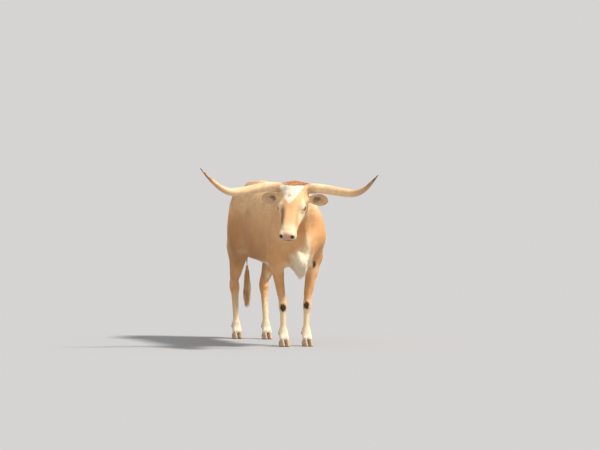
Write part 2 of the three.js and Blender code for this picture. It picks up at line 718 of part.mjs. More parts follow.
const LEG_PARTS = { upper: [34, 34, 42], lower: [20, 20, 36], foot: 20 };
const CORONET = { up: 57, slope: 0.34, ahead: 32 };
const coronet = ({ side: s, stance, ahead }) => ({
  p: at(s * stance, ahead + CORONET.ahead, CORONET.up),
  n: at(0, CORONET.slope, -1),
});

function lowerLeg(foot, masses, top) {
  const { side: s, stance, ahead } = foot;
  const [cx, cy, cz] = LEG_PARTS.lower;
  const made = meshed(
    body(masses),
    bands(s * stance - 84, cx, s * stance + 84),
    bands(-ahead - 96, cy, -ahead + 128),
    bands(16, LEG_PARTS.foot, 166, cz, top + 40),
  );
  return made
    .intersect(block(at(-600, 1000, -50), at(600, -1200, top)))
    .intersect(before(coronet(foot)));
}

// One claw: rings from the ground up, longest and widest on the ground, its toe to the front
const CLAW = { length: 118, width: 48, topLength: 80, topWidth: 46, sides: 12 };
function claw(foot, c) {
  const { side: s, stance, ahead } = foot;
  const rings = [
    { up: 0, out: 0.97 },
    { up: 7, out: 1 },
    { up: 34, out: 0.99 },
    { up: 96, out: 1 },
  ].map(({ up, out }) => {
    const t = up / 96;
    const long = (THREE.MathUtils.lerp(CLAW.length, CLAW.topLength, t) * out) / 2;
    const wide = (THREE.MathUtils.lerp(CLAW.width, CLAW.topWidth, t) * out) / 2;
    const middle = ahead + CORONET.ahead + THREE.MathUtils.lerp(12, -22, t);
    return Array.from({ length: CLAW.sides }, (_, i) => {
      const a = (2 * Math.PI * i) / CLAW.sides;
      const toe = Math.max(0, Math.cos(a));
      // The toe bends in towards the cleft.
      const x = s * stance + c * (CLAW_SPREAD + wide * Math.sin(a) * (1 - 0.2 * toe) - 5 * toe * toe * (1 - t));
      return at(x, middle + long * Math.cos(a), up);
    });
  });
  return skinned(rings).intersect(past(coronet(foot)));
}

function addLeg(end, foot, masses, box, top, joint) {
  const name = `${end}_${foot.name}`;
  const s = foot.side;
  const [cx, cy, cz] = LEG_PARTS.upper;
  const middle = end === "foreleg" ? -480 : 650;
  const upper = meshed(
    flesh,
    bands(s > 0 ? -10 : -350, cx, s > 0 ? 350 : 10),
    bands(middle - 330, cy, middle + 330),
    bands(joint - 40, cz, top),
  );
  const keep = block(at(-600, 1000, joint), at(600, -1200, 1200)).intersect(box(s, GAP / 2));
  addNode(`${name}_upper`, upper.intersect(keep), TAN_COAT);
  addNode(`${name}_lower`, lowerLeg(foot, masses, joint), PALE_COAT);
  addNode(`hoof_${name}_outer`, claw(foot, s), HOOF);
  addNode(`hoof_${name}_inner`, claw(foot, -s), HOOF);
}
FORE_FEET.forEach((foot, i) => addLeg("foreleg", foot, foreLegs[i], foreBox, 780, KNEE_CUT));
HIND_FEET.forEach((foot, i) => addLeg("hindleg", foot, hindLegs[i], hindBox, 1010, HOCK_CUT));

// Tail and its switch of long hair

const SWITCH_TOP = 650;
const SWITCH_CORE = [
  { p: at(12, -955, 700), r: 15 },
  { p: at(12, -955, 640), r: 17 },
  { p: at(12, -955, 560), r: 23 },
  { p: at(10, -953, 460), r: 20 },
  { p: at(9, -951, 390), r: 6 },
];
const SWITCH = { width: 44, thick: 11, sink: 7, lift: 10, fall: 17 };
const SWITCH_TIERS = [
  // height of the roots, how many round the tail, length of the locks
  [622, 3, 225],
  [550, 4, 262],
  [468, 3, 216],
];
const switchCut = { p: at(0, 0, SWITCH_TOP), n: at(0, 0, -1) };
addNode("tail", tube(TAIL, 8, 12).intersect(past(CUTS.tail)).intersect(before(switchCut)), TAN_COAT);
let tailSwitch = tube(SWITCH_CORE, 6, 6);
SWITCH_TIERS.forEach(([height, around, length], tier) => {
  for (let i = 0; i < around; i++) {
    const a = (2 * Math.PI * (i + 0.5 * (tier % 2))) / around + 0.15 * scatter();
    const n = at(Math.cos(a), Math.sin(a), 0);
    const p = at(11, -954, height + 12 * scatter()).addScaledVector(n, tier === 2 ? 15 : 19);
    const d = at(0.06 * scatter(), 0.06 * scatter(), -1).normalize();
    const long = length * (1 + 0.08 * scatter());
    tailSwitch = tailSwitch.add(lock(p, n, d, { ...SWITCH, length: long }));
  }
});
addNode("tail_switch", tailSwitch.intersect(past(switchCut)), PALE_COAT);

// Head

let head = meshed(
  headAndNeck,
  bands(-150, 22, 150),
  bands(-560, 17, -430, 32, -262, 18, -158, 32, 96),
  bands(-310, 24, -20, 18, 60),
  headPose,
);
// Eyes, each behind an almond opening between its lids
for (const s of [-1, 1]) {
  const centre = at(s * EYE.side, EYE.ahead, EYE.up);
  const out = at(s * 0.88, 0.38, 0.28).normalize();
  const eyeball = (r) => new THREE.SphereGeometry(r, 14, 9);
  const inPlace = facing(centre, out);
  head = head.subtract(solidOf(eyeball(EYE.radius + GAP), inPlace));
  const opening = facing(
    centre.clone().addScaledVector(out, EYE.radius),
    out,
    new THREE.Vector3(12.5 / 20, 21 / 20, 16 / 20),
  );
  head = head.subtract(solidOf(eyeball(20), opening));
  addNode(s < 0 ? "eye_right" : "eye_left", solidOf(eyeball(EYE.radius), inPlace), EYE_DARK, headPose);
}

// Nostrils: slanting commas
for (const s of [-1, 1]) {
  const shape = new THREE.Matrix4()
    .makeTranslation(s * NOSTRIL.side, -NOSTRIL.ahead, NOSTRIL.up)
    .multiply(new THREE.Matrix4().makeRotationY(s * 0.55))
    .multiply(new THREE.Matrix4().makeRotationZ(s * 0.35))
    .multiply(new THREE.Matrix4().makeScale(8.5, 24, 16));
  head = head.subtract(solidOf(new THREE.SphereGeometry(1, 10, 7), shape));
}

// Line of the mouth: a wedge cut along the skin from one corner round the front to the other
const MOUTH = { turn: 118, corner: -138, middle: -149, centre: MUZZLE - 66, steps: 18, open: 2.6, depth: 9 };
const mouthRings = Array.from({ length: MOUTH.steps + 1 }, (_, i) => {
  const t = (2 * i) / MOUTH.steps - 1;
  const a = rad(MOUTH.turn) * t;
  const level = THREE.MathUtils.lerp(MOUTH.middle, MOUTH.corner, t * t);
  const out = at(Math.sin(a), Math.cos(a), 0);
  const inside = at(0, MOUTH.centre, level);
  const p = skinPoint(headField, inside.clone().addScaledVector(out, 200), inside);
  const taper = 1 - 0.85 * t ** 8;
  const open = MOUTH.open * taper;
  const outer = p.clone().addScaledVector(out, 9);
  const inner = p.clone().addScaledVector(out, -MOUTH.depth * taper);
  return [
    outer.clone().setZ(outer.z + open * 1.9),
    outer.clone().setZ(outer.z - open * 1.9),
    inner.clone().setZ(inner.z - 0.3),
    inner.clone().setZ(inner.z + 0.3),
  ];
});
head = head.subtract(skinned(mouthRings));

// Tuft of the poll: locks that part at the top, fall forward over the brow, to the sides and back
const TUFT = { centre: at(0, 34, -58), length: 66, width: 46, thick: 12, sink: 9, lift: 16, fall: 9 };
// How unevenly the locks are set, how far they lean out to the sides, and how far they droop
const TUFT_SCATTER = { place: 5, tilt: 5, way: 0.18, length: 0.15 };
const TUFT_LEAN = { root: 0.35, tip: 0.75, droop: 0.45 };
const TUFT_ROWS = [
  // degrees forward of the top, how many across, half spread in mm, which way they fall
  [-26, 3, 50, -0.8],
  [2, 4, 72, 0.35],
  [24, 4, 62, 1],
  [44, 4, 42, 1],
];
const skyward = at(0, -Math.sin(rad(HEAD_PITCH)), Math.cos(rad(HEAD_PITCH)));
const faceward = at(0, Math.cos(rad(HEAD_PITCH)), Math.sin(rad(HEAD_PITCH)));
for (const [forward, across, spread, way] of TUFT_ROWS)
  for (let i = 0; i < across; i++) {
    const side = ((2 * i) / (across - 1) - 1) * spread + TUFT_SCATTER.place * scatter();
    const aside = side / spread;
    const tilt = rad(forward + TUFT_SCATTER.tilt * scatter());
    const out = skyward
      .clone()
      .multiplyScalar(Math.cos(tilt))
      .addScaledVector(faceward, Math.sin(tilt));
    const inside = TUFT.centre.clone().add(at(side * 0.8, 0, 0));
    const p = skinPoint(headField, inside.clone().addScaledVector(out, HEAD_LENGTH / 3), inside);
    const n = out.clone().add(at(aside * TUFT_LEAN.root, 0, 0)).normalize();
    const d = faceward.clone().multiplyScalar(way);
    d.addScaledVector(skyward, -TUFT_LEAN.droop * way * Math.sin(tilt));
    d.add(at(aside * TUFT_LEAN.tip + TUFT_SCATTER.way * scatter(), 0, 0));
    d.addScaledVector(n, -d.dot(n)).normalize();
    const length = TUFT.length * (1 + TUFT_SCATTER.length * scatter());
    head = head.add(lock(p, n, d, { ...TUFT, length }));
  }
// Cut off at the neck and at the seats of the horns and ears
head = head.intersect(past({ p: at(0, 13, -140), n: at(0, 0.85, 0.527) }));
for (const drum of seatDrums(new THREE.Matrix4())) head = head.subtract(drum);
addNode("head", head, FACE_COAT, headPose);

// Horns, from their seats out, a little down and forward, then up to the tips

const HORN_PATH = [
  // out to the side, up and forward of the seat, and the radius there
  [-14, 0, 0, HORN_BASE_RADIUS],
  [82, 3, 0, 42],
  [172, -8, 18, 40],
  [272, -33, 58, 38.5],
  [372, -52, 112, 36],
  [432, -52, 148, 32.5],
  [492, -24, 186, 27],
  [552, 22, 214, 20.5],
  [602, 70, 236, 14.5],
  [HORN_REACH - HORN_SEAT.side, 141, 262, 3.5],
];
const toCrown = (p) => p.clone().applyMatrix4(new THREE.Matrix4().makeRotationX(rad(HEAD_PITCH)));
// The left horn dips less than the right and is a little shorter.
const LEFT_HORN = { dip: 0.5, reach: 0.965 };
for (const s of [-1, 1]) {
  const seat = toCrown(at(s * HORN_SEAT.side, HORN_SEAT.ahead, HORN_SEAT.up));
  const stations = HORN_PATH.map(([out, rise, forward, r]) => {
    const long = s > 0 ? LEFT_HORN.reach : 1;
    const dip = s > 0 && rise < 0 ? LEFT_HORN.dip : 1;
    return { p: at(s * out * long, forward, rise * dip).add(seat), r };
  });
  const base = beyond(at(s * HORN_SEAT.side, 0, 0), at(s, 0, 0));
  addNode(s < 0 ? "horn_right" : "horn_left", tube(stations, 10, 21).intersect(base), HORN, crown);
}

// Ears: a leaf that starts as a round stub and opens into a cup facing forward

const EAR = { length: 168, steps: 10, half: 7, rim: 5, droop: 4, sweep: 26, turn: 0.22 };
const EAR_PROFILE = [
  // along, half height, depth of the cup, how far the cup is open
  [0, 27, 25, 0],
  [0.12, 31, 29, 0.15],
  [0.26, 41, 32, 0.8],
  [0.42, 50, 29, 1],
  [0.6, 54, 24, 1],
  [0.78, 48, 18, 1],
  [0.9, 35, 12, 1],
  [1, 14, 6, 1],
];
function alongProfile(t, column) {
  const next = EAR_PROFILE.findIndex((row) => row[0] > t);
  const i = (next < 0 ? EAR_PROFILE.length - 1 : next) - 1;
  const [a, b] = [EAR_PROFILE[i], EAR_PROFILE[i + 1]];
  const u = THREE.MathUtils.clamp((t - a[0]) / (b[0] - a[0]), 0, 1);
  return THREE.MathUtils.lerp(a[column], b[column], u);
}
function ear(s) {
  const seat = toCrown(at(s * EAR_SEAT.side, EAR_SEAT.ahead, EAR_SEAT.up));
  const rings = Array.from({ length: EAR.steps + 1 }, (_, i) => {
    // Rings lie closer together towards the round tip.
    const t = Math.sin((Math.PI / 2) * (i / EAR.steps)) ** 0.9;
    const half = alongProfile(t, 1);
    const deep = alongProfile(t, 2);
    const open = alongProfile(t, 3);
    const front = THREE.MathUtils.lerp(deep, -(deep - EAR.rim), open);
    const ring = [];
    for (let j = 0; j <= EAR.half - 1; j++) {
      const a = THREE.MathUtils.lerp(-1.4, 1.4, j / (EAR.half - 1));
      ring.push(at(0, -deep * Math.cos(a) - EAR.rim / 2, half * Math.sin(a)));
    }
    for (let j = EAR.half - 1; j >= 0; j--) {
      const a = THREE.MathUtils.lerp(-1.4, 1.4, j / (EAR.half - 1));
      ring.push(at(0, front * Math.cos(a) + EAR.rim / 2, half * Math.sin(a)));
    }
    const shift = at(s * (GAP / 2 + EAR.length * t), -EAR.sweep * t, -EAR.droop * t * t).add(seat);
    const turn = new THREE.Matrix4().makeRotationX(EAR.turn);
    return ring.map((p) => p.applyMatrix4(turn).add(shift));
  });
  return skinned(rings);
}
for (const s of [-1, 1]) addNode(s < 0 ? "ear_right" : "ear_left", ear(s), TAN_COAT, crown);

// The origin lies on the ground under the middle of the whole animal, horns included.
const reach = new THREE.Box3().setFromObject(longhorn, true).getCenter(new THREE.Vector3());
longhorn.position.set(-reach.x, -reach.y, 0);

export default longhorn;
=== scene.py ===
import math

import bmesh
import bpy
import numpy as np
from mathutils import Matrix, Vector


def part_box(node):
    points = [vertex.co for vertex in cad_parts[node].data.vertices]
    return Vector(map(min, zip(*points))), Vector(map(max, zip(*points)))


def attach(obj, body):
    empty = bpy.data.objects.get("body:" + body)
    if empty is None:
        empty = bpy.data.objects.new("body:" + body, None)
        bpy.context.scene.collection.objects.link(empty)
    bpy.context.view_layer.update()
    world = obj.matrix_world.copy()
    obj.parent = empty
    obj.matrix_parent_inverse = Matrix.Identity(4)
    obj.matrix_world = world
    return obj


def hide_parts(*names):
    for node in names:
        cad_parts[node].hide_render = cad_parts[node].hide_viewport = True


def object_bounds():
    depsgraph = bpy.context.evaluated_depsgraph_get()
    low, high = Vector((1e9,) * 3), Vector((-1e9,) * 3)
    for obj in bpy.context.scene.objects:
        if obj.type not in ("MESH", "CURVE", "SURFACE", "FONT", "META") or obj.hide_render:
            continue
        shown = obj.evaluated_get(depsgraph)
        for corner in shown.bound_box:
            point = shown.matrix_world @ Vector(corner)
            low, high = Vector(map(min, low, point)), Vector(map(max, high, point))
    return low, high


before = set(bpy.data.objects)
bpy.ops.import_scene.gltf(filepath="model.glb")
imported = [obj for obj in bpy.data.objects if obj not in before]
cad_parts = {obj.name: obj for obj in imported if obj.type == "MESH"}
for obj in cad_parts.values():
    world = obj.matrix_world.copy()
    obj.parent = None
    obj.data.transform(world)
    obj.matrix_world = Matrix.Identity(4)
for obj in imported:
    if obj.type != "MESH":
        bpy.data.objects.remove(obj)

cad_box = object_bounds()

# The viewpoint. The steer is seen from 24 m away with a long lens, from in front and a little to its
# right. Places are given as the animal would say them: to its left, ahead of its middle, above the
# ground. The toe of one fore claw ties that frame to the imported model's.
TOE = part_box("hoof_foreleg_right_outer")[0]
MIDDLE = Vector((TOE.x + 0.1669, TOE.y + 0.6012, 0))
LENS = 161.3
LINE_OF_SIGHT = Vector((0.3256, 0.9455, -0.0133))


def stand(side, ahead, up):
    return Vector((MIDDLE.x + side, MIDDLE.y - ahead, up))


camera_data = bpy.data.cameras.new("camera")
camera_data.lens = LENS
camera_data.sensor_width = 36
camera = bpy.data.objects.new("camera", camera_data)
bpy.context.scene.collection.objects.link(camera)
camera.location = stand(-7.77, 23.18, 1.4)
camera.rotation_euler = LINE_OF_SIGHT.to_track_quat("-Z", "Y").to_euler()
bpy.context.scene.camera = camera


# The studio: a plain pale floor, a pale surround as bright as the lit floor, so that no horizon stands
# out, and one large soft lamp for the sun, high on the animal's left and ahead of it.
def add_piece(name, shell, material, smooth=True):
    mesh = bpy.data.meshes.new(name)
    shell.to_mesh(mesh)
    shell.free()
    if smooth:
        mesh.shade_smooth()
    mesh.materials.append(material)
    piece = bpy.data.objects.new(name, mesh)
    bpy.context.scene.collection.objects.link(piece)
    return piece


def srgb(*shares):
    return (*(((c / 255 + 0.055) / 1.055) ** 2.4 if c > 10 else c / 3294.6 for c in shares), 1)


def add_node(tree, kind, **settings):
    node = tree.nodes.new(kind)
    for key, value in settings.items():
        setattr(node, key, value)
    return node


def new_finish(name, settings):
    """A material, its node tree and its shader, with the shader's plain settings."""
    finish = bpy.data.materials.new(name)
    finish.use_nodes = True
    shader = finish.node_tree.nodes["Principled BSDF"]
    for label, value in settings.items():
        shader.inputs[label].default_value = value
    return finish, finish.node_tree, shader


floor_finish, _, _ = new_finish(
    "pale_floor", {"Base Color": srgb(167, 168, 171), "Roughness": 0.85, "Specular IOR Level": 0}
)
shell = bmesh.new()
bmesh.ops.create_circle(shell, cap_ends=True, segments=96, radius=70)
floor = add_piece("floor", shell, floor_finish, smooth=False)

world = bpy.data.worlds.new("surround")
world.use_nodes = True
world.node_tree.nodes["Background"].inputs["Color"].default_value = srgb(213, 212, 210)
world.node_tree.nodes["Background"].inputs["Strength"].default_value = 1.0
bpy.context.scene.world = world

lamp_data = bpy.data.lights.new("key", "SUN")
lamp_data.angle = math.radians(8)
lamp_data.energy = 4.45
lamp_data.color = (1.0, 0.955, 0.885)
lamp = bpy.data.objects.new("key", lamp_data)
bpy.context.scene.collection.objects.link(lamp)
lamp.rotation_euler = Vector((-0.64, 0.50, -0.95)).to_track_quat("-Z", "Y").to_euler()
bpy.context.scene.view_settings.view_transform = "Standard"

# The hide: one closed skin over trunk, neck, head, ears, legs and the dock of the tail. The solids'
# shapes are melted together, finer over the head than over the body, and the two are sewn up across
# the neck behind the jaw. It lies below the solids by the depth of the coat.
POLL = stand(-0.178, 0.985, 1.446)


def turned(degrees, axis):
    return Matrix.Rotation(math.radians(degrees), 4, axis)


# Ears and horns are laid out in the crown's frame. The head's is pitched down from it: across to its
# left, back along the brow towards the poll, and out of the brow.
CROWN = Matrix.Translation(POLL) @ turned(-29.5, "Z") @ turned(2.2, "Y")
PITCH = turned(50, "X")
HEAD = CROWN @ PITCH
LEGS = [f"{end}leg_{side}" for end in ("fore", "hind") for side in ("left", "right")]
LEG_NODES = [f"{leg}_{part}" for leg in LEGS for part in ("upper", "lower")]
BODY_NODES = ["torso", "neck", "head", "tail"] + LEG_NODES
HEAD_NODES = ["head", "neck", "ear_left", "ear_right"]
FLESH_NODES = BODY_NODES + ["ear_left", "ear_right"]
PLUGS = [(-0.068, -0.029, 0.008), (0.072, -0.026, 0.008), (-0.062, -0.084, -0.012)]
PLUG_RADIUS = 0.021
OVERLAP = 0.0005


def melted(nodes, grain, plugs=()):
    """One closed shell round the solids of these nodes, with cells of the given grain. A plug fills a
    loop in a lock of the solids, which would otherwise stay as a knot."""
    whole = bmesh.new()
    for plug in plugs:
        ball = bmesh.ops.create_icosphere(whole, subdivisions=3, radius=PLUG_RADIUS)["verts"]
        bmesh.ops.translate(whole, vec=HEAD @ Vector(plug), verts=ball)
    for node in nodes:
        part = bmesh.new()
        part.from_mesh(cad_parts[node].data)
        bmesh.ops.remove_doubles(part, verts=part.verts, dist=1e-5)
        part.normal_update()
        for vert in part.verts:
            vert.co += vert.normal * OVERLAP
        mesh = bpy.data.meshes.new(node)
        part.to_mesh(mesh)
        part.free()
        whole.from_mesh(mesh)
        bpy.data.meshes.remove(mesh)
    rough = add_piece("rough", whole, floor_finish)
    remesh = rough.modifiers.new("remesh", "REMESH")
    remesh.mode = "VOXEL"
    remesh.voxel_size = grain
    evaluated = rough.evaluated_get(bpy.context.evaluated_depsgraph_get())
    made = bpy.data.meshes.new_from_object(evaluated)
    bpy.data.objects.remove(rough)
    shell = bmesh.new()
    shell.from_mesh(made)
    bpy.data.meshes.remove(made)
    return shell


def largest_only(shell):
    left = set(shell.verts)
    best = []
    while left:
        first = left.pop()
        island = [first]
        for vert in island:
            for edge in vert.link_edges:
                other = edge.other_vert(vert)
                if other in left:
                    left.remove(other)
                    island.append(other)
        best = max(best, island, key=len)
    keep = set(best)
    bmesh.ops.delete(shell, geom=[v for v in shell.verts if v not in keep], context="VERTS")


def cut(shell, place, along, keep_beyond):
    bmesh.ops.bisect_plane(
        shell,
        geom=shell.verts[:] + shell.edges[:] + shell.faces[:],
        plane_co=place,
        plane_no=along,
        clear_inner=keep_beyond,
        clear_outer=not keep_beyond,
    )


COLLAR = stand(-0.09, 0.80, 1.236)
COLLAR_WAY = Vector((0, -0.72, 0.69)).normalized()
SEWN = 0.008
BODY_GRAIN = 0.0125
HEAD_GRAIN = 0.0040
body_shell = melted(BODY_NODES, BODY_GRAIN)
cut(body_shell, COLLAR - COLLAR_WAY * SEWN, COLLAR_WAY, keep_beyond=False)
largest_only(body_shell)
head_shell = melted(HEAD_NODES, HEAD_GRAIN, PLUGS)
cut(head_shell, COLLAR + COLLAR_WAY * SEWN, COLLAR_WAY, keep_beyond=True)
largest_only(head_shell)
head_mesh = bpy.data.meshes.new("head_part")
head_shell.to_mesh(head_mesh)
head_shell.free()
body_shell.from_mesh(head_mesh)
bpy.data.meshes.remove(head_mesh)
bmesh.ops.bridge_loops(body_shell, edges=[e for e in body_shell.edges if e.is_boundary])
bmesh.ops.recalc_face_normals(body_shell, faces=body_shell.faces)
hide_mesh = bpy.data.meshes.new("hide")
body_shell.to_mesh(hide_mesh)
body_shell.free()


def read_places(mesh):
    places = np.empty(len(mesh.vertices) * 3)
    mesh.vertices.foreach_get("co", places)
    return places.reshape(-1, 3)


def read_normals(mesh):
    normals = np.empty(len(mesh.vertices) * 3)
    mesh.vertex_normals.foreach_get("vector", normals)
    return normals.reshape(-1, 3)


def in_frame(places, matrix):
    inverse = np.array(matrix.inverted())
    return places @ inverse[:3, :3].T + inverse[:3, 3]


def step(value, low, high):
    t = np.clip((value - low) / (high - low), 0, 1)
    return t * t * (3 - 2 * t)


def face_share(places):
    """1 on the head in front of the neck, 0 on the body."""
    own = in_frame(places, HEAD)
    return step(-own[:, 1] * 0.85 + own[:, 2] * 0.527, -0.17, -0.06) * step(places[:, 2], 0.86, 0.92)


def ear_share(places):
    own = in_frame(places, CROWN)
    return step(np.abs(own[:, 0]), 0.135, 0.165) * (own[:, 2] < 0.02) * face_share(places)


def relaxed(mesh, rounds, melting=0.0):
    """Evens out the facets: each vertex moves towards its neighbours' middle and, but for the melting
    share, back again."""
    places = read_places(mesh)
    edges = np.empty(len(mesh.edges) * 2, int)
    mesh.edges.foreach_get("vertices", edges)
    edges = edges.reshape(-1, 2)
    pairs = np.concatenate([edges, edges[:, ::-1]])
    melting = np.broadcast_to(melting, len(places))
    for turn in range(int(rounds.max())):
        if turn % 10 == 0:
            # Only the vertices that still move are worked out.
            moving = np.flatnonzero(rounds > turn)
            index = np.full(len(places), -1)
            index[moving] = np.arange(len(moving))
            near = pairs[index[pairs[:, 0]] >= 0]
            own, other = index[near[:, 0]], near[:, 1]
            count = np.bincount(own, minlength=len(moving))[:, None]
            back = 1 - melting[moving][:, None]
        for share in (0.6, -0.61 * back):
            sums = [np.bincount(own, places[other, k], len(moving)) for k in range(3)]
            middle = np.stack(sums, axis=1) / count
            places[moving] += share * (middle - places[moving])
    return places


def round_spot(spots, centre, radii):
    """1 at the centre, fading out past the radii."""
    return np.exp(-(((spots - centre) / radii) ** 2).sum(1))


def seen_from_side(spots):
    return np.stack([MIDDLE.y - spots[:, 1], spots[:, 2]], axis=1)


# Rounds of evening out: many on the body and where the solids' locks were, few on the face
BODY_ROUNDS = 70
FACE_ROUNDS = 5
SOFT_ROUNDS = 160
LOCK_ROUNDS = 420
HAUNCH_ROUNDS = 60
places = read_places(hide_mesh)
face = face_share(places)
lower = step(places[:, 2], 0.62, 0.36)
own = in_frame(places, HEAD)
# Under the hair of the poll and at the throat the skin is smooth.
poll = round_spot(own, (0, -0.02, 0.0), (0.11, 0.085, 0.05)) * (np.abs(own[:, 0]) < 0.125)
poll = np.minimum(1, 1.7 * poll)
throat = round_spot(own, (0, -0.14, -0.28), (0.12, 0.13, 0.10))
locks = np.minimum(1, 2 * round_spot(own, (0, -0.025, 0.02), (0.12, 0.045, 0.035))) * (poll > 0.3)
haunch = round_spot(seen_from_side(places), (-0.43, 1.20), (0.12, 0.20))
rounds = (
    BODY_ROUNDS * (1 - face) * (1 - 0.8 * lower)
    + FACE_ROUNDS * face
    + SOFT_ROUNDS * np.maximum(poll, throat)
    + LOCK_ROUNDS * locks
    + HAUNCH_ROUNDS * haunch
)
melting = np.maximum.reduce(
    [0.75 * poll, step(throat, 0.15, 0.6), step(locks, 0.1, 0.6), 0.35 * step(haunch, 0.1, 0.7)]
)
places = relaxed(hide_mesh, rounds, melting)
# What is left of the solids' locks is pressed down to the brow's own curve, which is fitted to the
# places that no lock raises.
own = in_frame(places, HEAD)
brow = (np.abs(own[:, 0]) < 0.125) & (own[:, 1] > -0.085) & (own[:, 1] < 0.03) & (own[:, 2] > -0.04)
across, back, out = own[brow].T
u, v = across / 0.12, back / 0.06
terms = np.stack([u**i * v**j for i in range(5) for j in range(5 - i)], axis=1)
unraised = np.ones(len(u), bool)
for _ in range(6):
    curve = terms @ np.linalg.lstsq(terms[unraised], out[unraised], rcond=None)[0]
    unraised = out - curve < 0.0018
pressed = np.minimum(out, curve + 0.0015)
share = step(back, -0.085, -0.055) * step(np.abs(across), 0.125, 0.105) * step(out, -0.04, -0.02)
own[brow, 2] += (pressed - out) * share
places[brow] = own[brow] @ np.array(HEAD.to_3x3()).T + np.array(HEAD.translation)
hide_mesh.vertices.foreach_set("co", places.ravel())
hide_mesh.update()

# Form under the skin, drawn in side view: grooves and ridges along lines, hollows and swellings round
# points. Each row gives its height in metres (below the surface if negative), its width and its line
# of (ahead, up) points. Lines are laid on lower and wider than drawn, by the two shares.
LINE_HEIGHT = 0.4
LINE_WIDTH = 1.9
GROOVES = [
    (-0.010, 0.030, [(0.40, 1.40), (0.335, 1.20), (0.33, 1.00), (0.37, 0.84)]),
    (-0.006, 0.022, [(0.585, 1.36), (0.69, 1.16), (0.72, 1.02)]),
    (0.005, 0.024, [(0.45, 1.37), (0.51, 1.20), (0.60, 1.06)]),
    (-0.006, 0.020, [(0.34, 0.98), (0.45, 0.90), (0.57, 0.86)]),
    (-0.005, 0.020, [(-0.13, 1.34), (-0.22, 1.15), (-0.20, 0.95), (-0.08, 0.82)]),
    (-0.007, 0.020, [(-0.845, 1.20), (-0.80, 1.02), (-0.765, 0.86)]),
    (-0.006, 0.022, [(-0.45, 1.16), (-0.41, 1.00), (-0.385, 0.86)]),
    (-0.005, 0.018, [(-0.60, 0.92), (-0.68, 0.80), (-0.74, 0.66)]),
    (0.006, 0.030, [(-0.47, 1.36), (-0.55, 1.33), (-0.60, 1.27)]),
    (0.005, 0.026, [(-0.79, 1.27), (-0.86, 1.25)]),
    (-0.004, 0.016, [(0.505, 0.72), (0.51, 0.60), (0.515, 0.47)]),
    (0.031, 0.045, [(-0.74, 0.74), (-0.77, 0.64), (-0.80, 0.56), (-0.83, 0.50)]),
]
for k in range(9):
    rib = [(0.25 - 0.062 * k, 1.27), (0.235 - 0.066 * k, 1.08), (0.25 - 0.064 * k, 0.90)]
    GROOVES.append((0.0040, 0.0125, rib))
SWELLINGS = [
    (0.009, 0.085, (0.47, 0.94)),
    (0.006, 0.060, (0.62, 0.98)),
    (-0.012, 0.075, (-0.36, 1.27)),
    (0.007, 0.11, (-0.66, 1.04)),
    (0.006, 0.07, (-0.50, 0.92)),
    (0.006, 0.05, (0.50, 0.66)),
    (-0.006, 0.06, (0.30, 1.33)),
]


def to_line(points, line):
    """Distance of each point from a line of segments."""
    best = np.full(len(points), 9.0)
    for start, end in zip(line[:-1], line[1:]):
        start, way = np.array(start), np.subtract(end, start)
        t = np.clip(((points - start) @ way) / (way @ way), 0, 1)
        best = np.minimum(best, np.linalg.norm(points - start - t[:, None] * way, axis=1))
    return best


side_view = seen_from_side(places)
normals = read_normals(hide_mesh)
flank = step(np.abs(normals[:, 0]), 0.15, 0.6) * (1 - face_share(places))
raised = np.zeros(len(places))
for high, wide, line in GROOVES:
    away = to_line(side_view, line) / (LINE_WIDTH * wide)
    raised += LINE_HEIGHT * high * np.exp(-(away**2)) * flank
for high, wide, spot in SWELLINGS:
    raised += high * round_spot(side_view, spot, wide) * flank
# Loose skin: folds across the neck, more on the inside of its bend, and down the brisket
ahead, upward = side_view.T
side = places[:, 0] - MIDDLE.x
along_neck = ahead * 0.72 + upward * 0.69
on_neck = step(along_neck, 1.28, 1.36) * step(along_neck, 1.47, 1.42)
wrinkle = np.sin(105 * along_neck + 3.0 * upward + 14 * side)
raised += 0.0013 * wrinkle * on_neck * step(-side, -0.02, 0.16) * step(upward, 1.0, 1.1)
on_brisket = step(ahead, 0.66, 0.74) * step(upward, 1.0, 0.86) * step(np.abs(side + 0.03), 0.16, 0.08)
raised += 0.0035 * np.sin(95 * side + 9 * upward) * on_brisket
knees = np.exp(-(((upward - 0.372) / 0.045) ** 2)) * step(normals[:, 1], -0.2, -0.7)
raised += 0.0012 * np.sin(520 * upward) * knees

# Nostrils, the groove between them and the mouth line, drawn on the head seen from its side
NOSTRIL_ASIDE = 0.050
NOSTRIL_BELOW = 0.086
MOUTH = [(0.56, -0.139), (0.50, -0.148), (0.455, -0.157), (0.425, -0.153)]
own = in_frame(places, HEAD)
snout = step(-own[:, 1], 0.44, 0.49)
mouth = np.exp(-((to_line(np.stack([-own[:, 1], own[:, 2]], axis=1), MOUTH) / 0.0045) ** 2))
crease = mouth
for s in (-1, 1):
    across, tall = own[:, 0] - s * NOSTRIL_ASIDE, own[:, 2] + NOSTRIL_BELOW
    slanted = np.hypot((across + s * 0.35 * tall) / 0.0125, (tall - s * 0.25 * across) / 0.017)
    wing = 0.0030 * np.exp(-(((slanted - 1.5) / 0.45) ** 2))
    raised += (wing - 0.0105 * np.exp(-(slanted**4))) * snout
    hollow = np.hypot(across / 0.0125, tall / 0.016)
    crease = np.maximum(crease, np.exp(-(hollow**4)) * snout)
raised -= 0.0048 * mouth
raised -= 0.0018 * np.exp(-((own[:, 0] / 0.004) ** 2)) * step(own[:, 2], -0.075, -0.10) * snout

